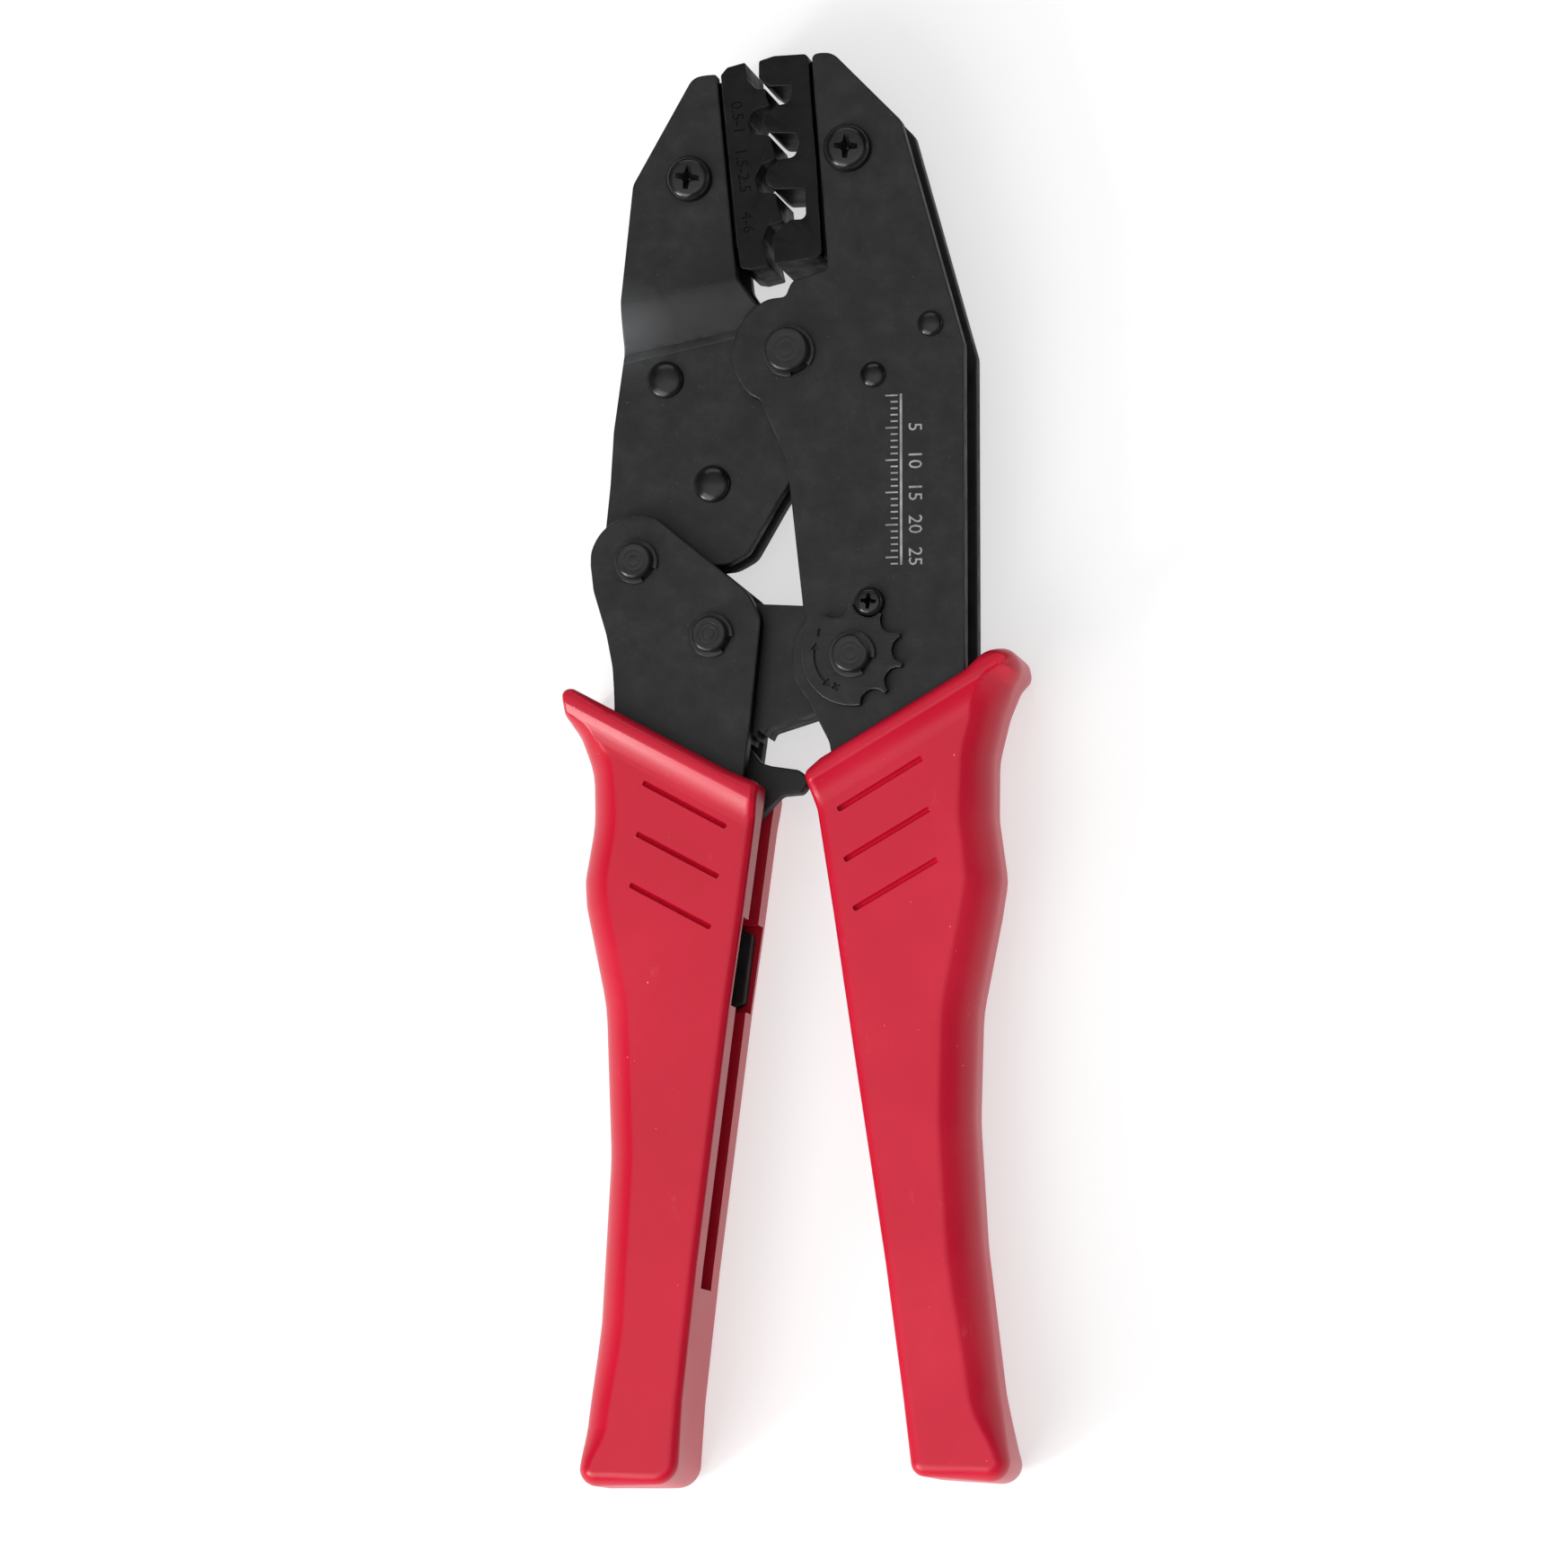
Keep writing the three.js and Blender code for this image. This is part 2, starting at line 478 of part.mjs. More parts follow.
const pocket = [MID - OUT_OUT - 0.15, MID + OUT_OUT + 0.15];
const slot = [MID - 3.7, MID + 3.7];

const LEFT = outline([
  [-37.2, -52.8, 1.3], [-36.4, -49.7, 1.4], [-27.0, -54.9, 8], [-9.0, -64.7, 5], [-4.2, -66.8, 1.2],
  [-5.0, -72], [-7.0, -87], [-8.9, -100], [-14.0, -140], [-16.2, -160], [-15.9, -169, 3],
  [-18.5, -172.6, 4], [-32.8, -172.9, 2], [-33.3, -170, 3], [-30.9, -158.3, 20], [-29.4, -148, 20],
  [-28.4, -123, 30], [-29.2, -100, 30], [-32.4, -84.5, 8], [-32.6, -80.5, 8], [-31.1, -72, 20],
  [-31.5, -64.4, 10], [-33.4, -58.4, 12],
]);
const leftBody = gripLoft([
  [-174, -15.6, -33.6], [-169, -15.8, -33.0], [-158, -16.1, -30.8], [-148, -14.9, -29.3],
  [-136, -13.4, -28.4], [-123, -11.8, -28.2], [-111, -10.2, -28.5], [-100, -8.8, -29.1],
  [-92, -7.6, -30.5], [-84, -6.6, -32.4], [-80, -6.0, -32.4], [-72, -4.9, -31.1], [-66, -4.0, -31.3],
  [-60, -3.4, -32.8], [-55, -3.4, -35.0], [-48, -3.4, -37.2],
]);
piece('moving_grip', cut(
  leftBody.intersect(slab(LEFT, [-1, 22])),
  slab(outline([
    [-27.7, -40], [-6.6, -40], [-6.7, -64.4], [-9.7, -86], [-11.5, -100.6], [-16.2, -138], [-18.0, -148.5],
    [-18.2, -151], [-25.2, -151], [-25.0, -125], [-25.2, -105], [-27.4, -85], [-27.8, -72],
  ]), pocket),
  slab([[-16, -62], [0, -62], [0, -89], [-8, -143], [-20, -143]], slot),
  slab([[-12, -87], [0, -87], [0, -100.4], [-12, -100.4]], [MID - 7.4, MID + 7.4]),
  grooveCut([-22.2, -66.2], [-9.4, -73.2]), grooveCut([-23.2, -74.0], [-10.6, -80.9]),
  grooveCut([-24.2, -81.8], [-11.8, -88.6]),
), RED);

const RIGHT = outline([
  [2.7, -65.4, 1.4], [5.2, -63.2, 3], [27.8, -50.1, 4], [31.6, -47.1, 5], [35.9, -46.6, 2.4],
  [37.2, -49.0, 2.4], [35.0, -52.6, 4], [33.6, -56.4, 8], [31.7, -63.0, 10], [31.3, -72, 10],
  [32.7, -81.4, 8], [31.9, -87, 8], [29.0, -101.5, 20], [28.6, -118, 30], [29.7, -137, 30],
  [32.2, -159, 20], [34.6, -170.4, 2], [33.6, -172.8, 2], [19.0, -171.6, 2], [17.6, -160, 10],
  [15.0, -140], [10.4, -109.5], [7.1, -87], [4.6, -71],
]);
const rightBody = gripLoft([
  [-174, 19.2, 34.9], [-169, 18.4, 34.4], [-159, 17.2, 32.2], [-148, 15.8, 30.8], [-137, 14.2, 29.7],
  [-125, 12.4, 28.8], [-111, 10.4, 28.5], [-101, 8.9, 29.0], [-93, 7.7, 30.2], [-87, 6.8, 31.9],
  [-80, 5.8, 32.6], [-72, 4.5, 31.3], [-66, 3.0, 31.2], [-61, 2.0, 32.2], [-56, 1.8, 33.8],
  [-51, 1.8, 36.4], [-44, 1.8, 37.4],
]);
piece('fixed_grip', cut(
  rightBody.intersect(slab(RIGHT, [-1, 22])),
  slab(outline([
    [27.7, -40], [5.6, -40], [5.8, -60], [7.1, -68], [9.6, -86], [13.0, -110], [17.4, -138],
    [19.6, -151], [26.2, -151], [24.7, -125], [25.0, -100], [26.8, -80], [27.6, -62],
  ]), pocket),
  slab([[16, -56], [0, -56], [0, -89], [8, -143], [22, -143]], slot),
  grooveCut([20.9, -63.5], [8.0, -71.1]), grooveCut([22.0, -71.3], [9.0, -78.8]),
  grooveCut([23.2, -79.0], [10.4, -86.3]),
), RED);

// ---------- spring that holds the pawl in the teeth ----------
function coilSpring([x0, y0], [x1, y1], z, radius, wire, turns) {
  const start = new THREE.Vector3(x0, y0, z);
  const run = new THREE.Vector3(x1 - x0, y1 - y0, 0);
  const length = run.length();
  const axis = run.clone().normalize();
  const side = new THREE.Vector3(-axis.y, axis.x, 0);
  const up = new THREE.Vector3(0, 0, 1);
  const steps = turns * 8;
  const points = Array.from({ length: steps + 1 }, (_, i) => {
    const a = 2 * Math.PI * turns * i / steps;
    return start.clone().addScaledVector(axis, length * i / steps)
      .addScaledVector(side, radius * Math.sin(a)).addScaledVector(up, radius * Math.cos(a));
  });
  const path = new THREE.CatmullRomCurve3(points);
  const section = new THREE.Shape(arc(0, 0, wire, 0, 270, 3).map(([u, v]) => new THREE.Vector2(u, v)));
  return solid(new THREE.ExtrudeGeometry(section, { steps, bevelEnabled: false, extrudePath: path }));
}
piece('pawl_spring', coilSpring([-13.9, -75.0], [-19.6, -82.6], MID, 1.5, 0.35, 7), SPRING);

// ---------- origin at the base centre ----------
const part = new THREE.Group();
const bounds = new THREE.Box3().setFromObject(group);
group.position.set(-(bounds.min.x + bounds.max.x) / 2, -(bounds.min.y + bounds.max.y) / 2, -bounds.min.z);
part.add(group);
export default part;
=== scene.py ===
"""Looks for a ratchet crimping tool: smooth stamped plates, turned pins, dies and moulded grips."""
import json
import math

import bmesh
import bpy
from mathutils import Matrix, Vector
from mathutils.geometry import interpolate_bezier


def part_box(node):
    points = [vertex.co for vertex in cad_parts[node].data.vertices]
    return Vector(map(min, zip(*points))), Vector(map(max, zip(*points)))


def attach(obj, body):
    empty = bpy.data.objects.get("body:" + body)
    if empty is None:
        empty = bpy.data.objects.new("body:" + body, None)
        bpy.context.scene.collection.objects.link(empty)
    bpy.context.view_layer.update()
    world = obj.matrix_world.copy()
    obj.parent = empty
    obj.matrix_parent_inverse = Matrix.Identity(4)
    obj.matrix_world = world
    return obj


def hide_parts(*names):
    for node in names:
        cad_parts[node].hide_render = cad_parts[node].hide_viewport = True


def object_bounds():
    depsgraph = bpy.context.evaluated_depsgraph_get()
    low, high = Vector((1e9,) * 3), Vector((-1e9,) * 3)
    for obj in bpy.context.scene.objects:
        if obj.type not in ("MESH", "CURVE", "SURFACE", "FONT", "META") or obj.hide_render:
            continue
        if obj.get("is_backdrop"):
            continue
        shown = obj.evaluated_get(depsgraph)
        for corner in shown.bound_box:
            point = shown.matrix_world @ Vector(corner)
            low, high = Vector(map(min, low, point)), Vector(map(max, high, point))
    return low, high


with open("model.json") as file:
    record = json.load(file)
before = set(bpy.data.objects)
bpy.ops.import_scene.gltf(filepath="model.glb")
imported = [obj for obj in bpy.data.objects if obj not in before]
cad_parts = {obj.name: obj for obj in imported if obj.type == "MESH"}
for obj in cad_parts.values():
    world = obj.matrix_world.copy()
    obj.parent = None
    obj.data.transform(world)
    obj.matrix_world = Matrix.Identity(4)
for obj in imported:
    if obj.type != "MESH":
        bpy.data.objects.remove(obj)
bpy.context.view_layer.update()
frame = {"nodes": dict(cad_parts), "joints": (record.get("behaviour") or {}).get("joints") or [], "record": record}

MM = 0.001
NODES = frame["nodes"]
SCENE = bpy.context.scene
BODY_OF = {n: b for b, ns in frame["record"]["behaviour"]["bodies"].items() for n in ns}
JOINT_AT = {j["name"]: Vector(j["pos_m"]) for j in frame["joints"]}
PIVOT = JOINT_AT["jaw_close"]          # main pivot; sizes given "from the pivot" start here
MID = PIVOT.z
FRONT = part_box("frame_plate_front")[1].z
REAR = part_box("frame_plate_back")[0].z


def from_pivot(x, y, z=0.0):
    """A place given in millimetres from the main pivot, and in height from the middle plane."""
    return Vector((PIVOT.x + x * MM, PIVOT.y + y * MM, MID + z * MM))


# ------------------------------------------------------------------ materials
def shader(name, color, rough, metal=0.0, spec=0.5):
    """A new material, its node tree and its surface node."""
    mat = bpy.data.materials.new(name)
    mat.use_nodes = True
    bsdf = mat.node_tree.nodes["Principled BSDF"]
    bsdf.inputs["Base Color"].default_value = (*color, 1)
    bsdf.inputs["Roughness"].default_value = rough
    bsdf.inputs["Metallic"].default_value = metal
    bsdf.inputs["Specular IOR Level"].default_value = spec
    return mat, mat.node_tree, bsdf


def noise(tree, coord, scale, detail=4.0, rough=0.6, stretch=None):
    """Noise of so many grains to the metre; stretch squeezes it along an axis."""
    node = tree.nodes.new("ShaderNodeTexNoise")
    node.inputs["Scale"].default_value = scale
    node.inputs["Detail"].default_value = detail
    node.inputs["Roughness"].default_value = rough
    if stretch:
        mapping = tree.nodes.new("ShaderNodeMapping")
        mapping.inputs["Scale"].default_value = stretch
        tree.links.new(coord, mapping.inputs["Vector"])
        coord = mapping.outputs["Vector"]
    tree.links.new(coord, node.inputs["Vector"])
    return node.outputs["Fac"]


def ramp(tree, value, stops):
    """A value turned into a colour, over stops of (position, colour)."""
    node = tree.nodes.new("ShaderNodeValToRGB")
    band = node.color_ramp
    while len(band.elements) < len(stops):
        band.elements.new(0.5)
    for element, (at, color) in zip(band.elements, stops):
        element.position = at
        element.color = (*color, 1)
    tree.links.new(value, node.inputs["Fac"])
    return node.outputs["Color"]


def grey(v):
    return (v, v, v)


def remap(tree, value, low, high, to_low, to_high):
    node = tree.nodes.new("ShaderNodeMapRange")
    for key, v in (("From Min", low), ("From Max", high), ("To Min", to_low), ("To Max", to_high)):
        node.inputs[key].default_value = v
    tree.links.new(value, node.inputs["Value"])
    return node.outputs["Result"]


def mix(tree, factor, a, b, blend="MIX"):
    """Two colours mixed; each input is a number, a colour or an output of another node."""
    node = tree.nodes.new("ShaderNodeMix")
    node.data_type = "RGBA"
    node.blend_type = blend
    for socket, v in ((node.inputs["Factor"], factor), (node.inputs["A"], a), (node.inputs["B"], b)):
        if isinstance(v, (int, float)):
            socket.default_value = v
        elif isinstance(v, tuple):
            socket.default_value = (*v, 1)
        else:
            tree.links.new(v, socket)
    return node.outputs["Result"]


def bump(tree, bsdf, height, strength, distance):
    node = tree.nodes.new("ShaderNodeBump")
    node.inputs["Strength"].default_value = strength
    node.inputs["Distance"].default_value = distance
    tree.links.new(height, node.inputs["Height"])
    tree.links.new(node.outputs["Normal"], bsdf.inputs["Normal"])


def coords(tree):
    """Places on the object in metres."""
    return tree.nodes.new("ShaderNodeTexCoord").outputs["Object"]


def facing(tree):
    """How squarely the surface faces the front or the rear of the tool, 0 to 1."""
    split = tree.nodes.new("ShaderNodeSeparateXYZ")
    normal = tree.nodes.new("ShaderNodeTexCoord").outputs["Normal"]
    tree.links.new(normal, split.inputs["Vector"])
    size = tree.nodes.new("ShaderNodeMath")
    size.operation = "ABSOLUTE"
    tree.links.new(split.outputs["Z"], size.inputs[0])
    return size.outputs[0]


def rolled_edge(tree):
    """1 on the rounded rims of a stamped plate, 0 on its flat faces and its walls."""
    return ramp(tree, facing(tree), [(0.15, grey(0)), (0.4, grey(1)), (0.7, grey(1)), (0.88, grey(0))])


def cut_wall(tree):
    """1 on the upright walls of a plate, whose colour is painted darker than its faces as shade."""
    return ramp(tree, facing(tree), [(0.1, grey(1)), (0.3, grey(0))])


def near(tree, at, place, radius):
    """1 at a place on the object, falling softly to 0 at the radius."""
    node = tree.nodes.new("ShaderNodeVectorMath")
    node.operation = "DISTANCE"
    tree.links.new(at, node.inputs[0])
    node.inputs[1].default_value = place
    return remap(tree, node.outputs["Value"], radius * 0.1, radius, 1, 0)


CLOUDS, WORN_PATCHES, GRIND_LINES, GRAIN, SPECKS = 240, 420, 900, 1500, 2600    # noise scales on steel
DARK, PALE, BRIGHT = 0.35, 2.0, 7       # clouds and specks, as multiples of the skin's own colour
PAINTED_WALL_SHADE, WALL_SHINE = 0.3, 0.2       # painted shade on the upright walls, with their shine turned down, as multiples of the faces' colour and shine


def scaled(color, by):
    return tuple(c * by for c in color)


def black_oxide(name, base, worn_and_gleam, rough, wear=0.5, grind=0.0, spec=0.32, painted_gleams=(), painted_shades=()):
    """Blackened steel: a satin skin mottled by the bath, paler where it wears on its rolled edges.

    rubbed lists places as (centre, radius) where a painted highlight turns the skin paler; sooty lists places
    where a painted shade turns it darker.
    """
    mat, tree, bsdf = shader(name, base, rough, spec=spec)
    at = coords(tree)
    cloud = noise(tree, at, CLOUDS, 6, 0.66)
    fine = noise(tree, at, GRAIN, 3, 0.7)
    body = ramp(tree, cloud, [(0.32, scaled(base, DARK)), (0.52, base), (0.72, scaled(base, PALE))])
    speck = ramp(tree, noise(tree, at, SPECKS, 2, 0.5), [(0.73, grey(0)), (0.78, grey(1))])
    body = mix(tree, speck, body, scaled(base, BRIGHT))
    patchy = ramp(tree, noise(tree, at, WORN_PATCHES, 4, 0.7), [(0.35, grey(0.1)), (0.7, grey(wear))])
    rim = mix(tree, 1.0, rolled_edge(tree), patchy, "MULTIPLY")
    # Painted highlight: paler skin round each place, standing in for a gleam of light.
    for place, radius in painted_gleams:
        body = mix(tree, near(tree, at, place, radius), body, scaled(worn_and_gleam, 0.65))
    # Painted shade: darker skin round each place.
    for place, radius in painted_shades:
        body = mix(tree, near(tree, at, place, radius), body, scaled(base, 0.1))
    # Painted shade: the upright walls are darkened and their shine turned down.
    wall_shade = cut_wall(tree)
    body = mix(tree, wall_shade, body, scaled(base, PAINTED_WALL_SHADE))
    tree.links.new(remap(tree, wall_shade, 0, 1, spec, spec * WALL_SHINE), bsdf.inputs["Specular IOR Level"])
    tree.links.new(mix(tree, rim, body, worn_and_gleam), bsdf.inputs["Base Color"])
    rough_map = remap(tree, cloud, 0.3, 0.7, rough - 0.1, rough + 0.12)
    tree.links.new(rough_map, bsdf.inputs["Roughness"])
    height = fine
    if grind:
        lines = noise(tree, at, GRIND_LINES, 2, 0.5, stretch=(0.06, 1, 1))
        height = mix(tree, grind, fine, lines)
    bump(tree, bsdf, height, 0.16, 0.00006)
    return mat


def turned_steel(name, base, rough, metal=0.9):
    """Dull turned steel with a fine, uneven skin. Any turning rings are in the mesh."""
    mat, tree, bsdf = shader(name, base, rough, metal=metal, spec=0.34)
    at = coords(tree)
    cloud = noise(tree, at, 500, 4, 0.6)
    body = ramp(tree, cloud, [(0.3, scaled(base, 0.6)), (0.7, scaled(base, 1.35))])
    tree.links.new(body, bsdf.inputs["Base Color"])
    tree.links.new(remap(tree, cloud, 0.3, 0.75, rough - 0.06, rough + 0.12), bsdf.inputs["Roughness"])
    bump(tree, bsdf, noise(tree, at, 1800, 3, 0.6), 0.14, 0.00005)
    return mat


def moulded_red(name, base, shade):
    """Injection-moulded grip: eggshell skin, faint flow clouds, a few scuffs and pale specks."""
    mat, tree, bsdf = shader(name, base, 0.36, spec=0.34)
    at = coords(tree)
    flow = noise(tree, at, 32, 4, 0.55)
    light_red = tuple(c * 1.12 + 0.01 for c in base)
    body = ramp(tree, flow, [(0.3, shade), (0.55, base), (0.8, light_red)])
    rubs = noise(tree, at, 240, 5, 0.75, stretch=(1, 0.35, 1))
    scuff = ramp(tree, rubs, [(0.64, grey(0)), (0.82, grey(0.28))])
    body = mix(tree, scuff, body, (0.86, 0.20, 0.24))
    speck = ramp(tree, noise(tree, at, 1500, 2, 0.4), [(0.79, grey(0)), (0.81, grey(0.6))])
    body = mix(tree, speck, body, (0.92, 0.48, 0.48))
    tree.links.new(body, bsdf.inputs["Base Color"])
    tree.links.new(remap(tree, flow, 0.3, 0.8, 0.30, 0.42), bsdf.inputs["Roughness"])
    bsdf.inputs["Subsurface Weight"].default_value = 0.04
    bsdf.inputs["Subsurface Radius"].default_value = (0.004, 0.0012, 0.001)
    bsdf.inputs["Subsurface Scale"].default_value = 0.5
    bump(tree, bsdf, noise(tree, at, 2400, 3, 0.6), 0.13, 0.00006)
    return mat


# The paler skin colour serves both the worn rims and, on the jaw, a painted highlight.
SKIN, SKIN_WORN_AND_GLEAM = (0.0095, 0.0097, 0.0102), (0.085, 0.087, 0.092)
HEAD, HEAD_WORN = (0.006, 0.006, 0.0065), (0.03, 0.03, 0.032)      # screw and rivet heads
PLATE = black_oxide("plate_black_oxide", SKIN, SKIN_WORN_AND_GLEAM, 0.46, 0.55)
# The wheel's rims are much paler than the plates': partly edge wear, partly a painted highlight along its outline.
WHEEL = black_oxide("wheel_black_oxide", (0.0085, 0.0087, 0.0092), (0.16, 0.162, 0.168), 0.42, 0.95)
# The jaw's plates get a painted highlight at the left of the joggle's bend and a painted shade near the dies.
JAW = black_oxide("jaw_black_oxide", SKIN, SKIN_WORN_AND_GLEAM, 0.46, 0.55,
                  painted_gleams=((from_pivot(-26.5, 4.5, 6), 0.0085),),
                  painted_shades=((from_pivot(-9.5, 11.5, 6), 0.009),))
DIE = black_oxide("die_black_oxide", (0.0042, 0.0043, 0.0046), (0.10, 0.10, 0.105), 0.40, 0.8,
                  grind=0.5, spec=0.15)
SCREW = black_oxide("screw_black_oxide", HEAD, HEAD_WORN, 0.25, 0.3, spec=0.36)
RIVET = black_oxide("rivet_black_oxide", HEAD, HEAD_WORN, 0.22, 0.2)
PIN = turned_steel("pin_turned_steel", (0.010, 0.0102, 0.0108), 0.34, metal=0.0)
RING = turned_steel("ring_spring_steel", (0.014, 0.0145, 0.0155), 0.28, metal=0.0)
WIRE = turned_steel("spring_wire", (0.42, 0.43, 0.44), 0.28)
RED = moulded_red("grip_red_plastic", (0.55, 0.0030, 0.027), (0.50, 0.0025, 0.022))
INK = turned_steel("gauge_print", (0.30, 0.30, 0.31), 0.6, metal=0.0)


# ------------------------------------------------------------------ outlines read from the frame
def walked(edges):
    """The plan points of each chain that the edges form, one list to a chain."""
    chains, left = [], set(edges)
    while left:
        edge = left.pop()
        start, here = edge.verts
        ring = [start, here]
        while True:
            step = next((e for e in here.link_edges if e in left), None)
            if step is None:
                break
            left.discard(step)
            here = step.other_vert(here)
            if here is start:
                break
            ring.append(here)
        chains.append([Vector((v.co.x, v.co.y)) for v in ring])
    return chains


def section(node, z):
    """The closed loops in which a level plane cuts a CAD node, without points on straight runs."""
    bm = bmesh.new()
    bm.from_mesh(NODES[node].data)
    bmesh.ops.remove_doubles(bm, verts=bm.verts, dist=1e-7)
    bmesh.ops.bisect_plane(
        bm, geom=bm.verts[:] + bm.edges[:] + bm.faces[:], dist=1e-8,
        plane_co=(0, 0, z), plane_no=(0, 0, 1), clear_inner=True, clear_outer=True,
    )
    bmesh.ops.remove_doubles(bm, verts=bm.verts, dist=2e-6)
    loops = [without_straights(points) for points in walked(bm.edges) if len(points) > 2]
    bm.free()
    return sorted(loops, key=lambda p: -abs(area(p)))


def area(points):
    """The area inside a loop, positive when it runs anticlockwise."""
    return sum(a.x * b.y - b.x * a.y for a, b in zip(points, points[1:] + points[:1])) / 2


STRAIGHT = math.radians(0.6)    # a smaller turn than this is no corner
SHORTEST = 1e-6


def without_straights(points):
    """The corners of a loop, in anticlockwise order."""
    kept = []
    n = len(points)
    for i, p in enumerate(points):
        a, b = p - points[i - 1], points[(i + 1) % n] - p
        if a.length > SHORTEST and b.length > SHORTEST and a.angle(b) > STRAIGHT:
            kept.append(p)
    if area(kept) < 0:
        kept.reverse()
    return kept


SHARP = 48                      # degrees; a larger turn stays a corner
FLAT = math.radians(1.5)        # a run that turns less than this stays straight
UNEQUAL = 2.2                   # a run this many times its neighbour's length is a straight side
ARC_REACH = 0.35                # handle length of an arc's curve, over its chord
ARC_STEP = 4                    # degrees of an arc to one new run
ARC_MOST = 12


def smooth(points, finest=0.25 * MM):
    """Turns a faceted outline back into arcs: shallow corners become curves, sharp ones stay."""
    n = len(points)
    runs = [points[(i + 1) % n] - points[i] for i in range(n)]
    ends = []
    for i in range(n):
        before, after = runs[i - 1], runs[i]
        turn = math.degrees(before.angle(after))
        if turn > SHARP:
            ends.append((before.normalized(), after.normalized()))
        elif before.length > UNEQUAL * after.length:
            ends.append((before.normalized(),) * 2)
        elif after.length > UNEQUAL * before.length:
            ends.append((after.normalized(),) * 2)
        else:
            across = before.normalized() + after.normalized()
            ends.append((across.normalized(),) * 2)
    out = []
    for i in range(n):
        p, q = points[i], points[(i + 1) % n]
        leave, arrive = ends[i][1], ends[(i + 1) % n][0]
        bend = leave.angle(arrive) if leave.length and arrive.length else 0
        if bend < FLAT:
            out.append(p)
            continue
        reach = runs[i].length * ARC_REACH
        by_turn = math.ceil(math.degrees(bend) / ARC_STEP)
        steps = max(2, min(ARC_MOST, by_turn, math.ceil(runs[i].length / finest)))
        bez = interpolate_bezier(p.to_3d(), (p + leave * reach).to_3d(), (q - arrive * reach).to_3d(),
                                 q.to_3d(), steps + 1)
        out.extend(Vector((v.x, v.y)) for v in bez[:-1])
    return out


# ------------------------------------------------------------------ mesh makers
def add(name, mesh, mat, body, replaced=(), angle=35):
    """Makes a piece of the mesh, riding with its body; edges sharper than angle stay sharp."""
    obj = bpy.data.objects.new(name, mesh)
    SCENE.collection.objects.link(obj)
    mesh.materials.clear()
    mesh.materials.append(mat)
    mesh.shade_smooth()
    mesh.set_sharp_from_angle(angle=math.radians(angle))
    even = obj.modifiers.new("even_shading", "WEIGHTED_NORMAL")
    even.keep_sharp = True
    even.weight = 80
    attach(obj, body)
    if replaced:
        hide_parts(*replaced)
    return obj


def baked(obj):
    """The object's mesh with its modifiers applied; the object itself is removed."""
    graph = bpy.context.evaluated_depsgraph_get()
    mesh = bpy.data.meshes.new_from_object(obj.evaluated_get(graph))
    data = obj.data
    bpy.data.objects.remove(obj)
    if isinstance(data, bpy.types.Curve):
        bpy.data.curves.remove(data)
    else:
        bpy.data.meshes.remove(data)
    return mesh


def plate(loops, z0, z1, rim, steps=3, grow=0.0):
    """A slab over outline loops, with its rims rolled over by a radius of rim."""
    curve = bpy.data.curves.new("outline", "CURVE")
    curve.dimensions = "2D"
    curve.fill_mode = "BOTH"
    curve.extrude = (z1 - z0) / 2 - rim
    curve.bevel_depth = rim
    curve.bevel_resolution = steps
    curve.offset = grow - rim
    for loop in loops:
        spline = curve.splines.new("POLY")
        spline.points.add(len(loop) - 1)
        spline.use_cyclic_u = True
        for point, p in zip(spline.points, loop):
            point.co = (p.x, p.y, 0, 1)
    obj = bpy.data.objects.new("outline", curve)
    SCENE.collection.objects.link(obj)
    mesh = baked(obj)
    mesh.transform(Matrix.Translation((0, 0, (z0 + z1) / 2)))
    weld(mesh)
    return mesh


def weld(mesh):
    bm = bmesh.new()
    bm.from_mesh(mesh)
    bmesh.ops.remove_doubles(bm, verts=bm.verts, dist=2e-6)
    bmesh.ops.recalc_face_normals(bm, faces=bm.faces)
    bm.to_mesh(mesh)
    bm.free()


def lathe(profile, at, sides=56):
    """A turned solid about a vertical axis; profile is [(radius, height)], closed on the axis."""
    bm = bmesh.new()
    rings = []
    for r, z in profile:
        if r < 1e-7:
            rings.append([bm.verts.new((at.x, at.y, z))])
        else:
            rings.append([bm.verts.new((at.x + r * math.cos(a), at.y + r * math.sin(a), z))
                          for a in (2 * math.pi * i / sides for i in range(sides))])
    for low, high in zip(rings, rings[1:]):
        for i in range(sides):
            j = (i + 1) % sides
            corners = [low[i % len(low)], low[j % len(low)], high[j % len(high)], high[i % len(high)]]
            unique = list(dict.fromkeys(corners))
            if len(unique) > 2:
                bm.faces.new(unique)
    bmesh.ops.recalc_face_normals(bm, faces=bm.faces)
    mesh = bpy.data.meshes.new("turned")
    bm.to_mesh(mesh)
    bm.free()
    return mesh


def cut_away(mesh, tools):
    """The mesh with each tool mesh taken away from it."""
    obj = bpy.data.objects.new("cut", mesh)
    SCENE.collection.objects.link(obj)
    held = []
    for tool in tools:
        other = bpy.data.objects.new("tool", tool)
        SCENE.collection.objects.link(other)
        mod = obj.modifiers.new("cut", "BOOLEAN")
        mod.operation, mod.solver, mod.object = "DIFFERENCE", "EXACT", other
        held.append(other)
    bpy.context.view_layer.update()
    result = baked(obj)
    for other in held:
        data = other.data
        bpy.data.objects.remove(other)
        bpy.data.meshes.remove(data)
    return result


def merged(meshes):
    """One mesh of several; each part stays closed in itself."""
    bm = bmesh.new()
    for mesh in meshes:
        bm.from_mesh(mesh)
        bpy.data.meshes.remove(mesh)
    mesh = bpy.data.meshes.new("merged")
    bm.to_mesh(mesh)
    bm.free()
    return mesh


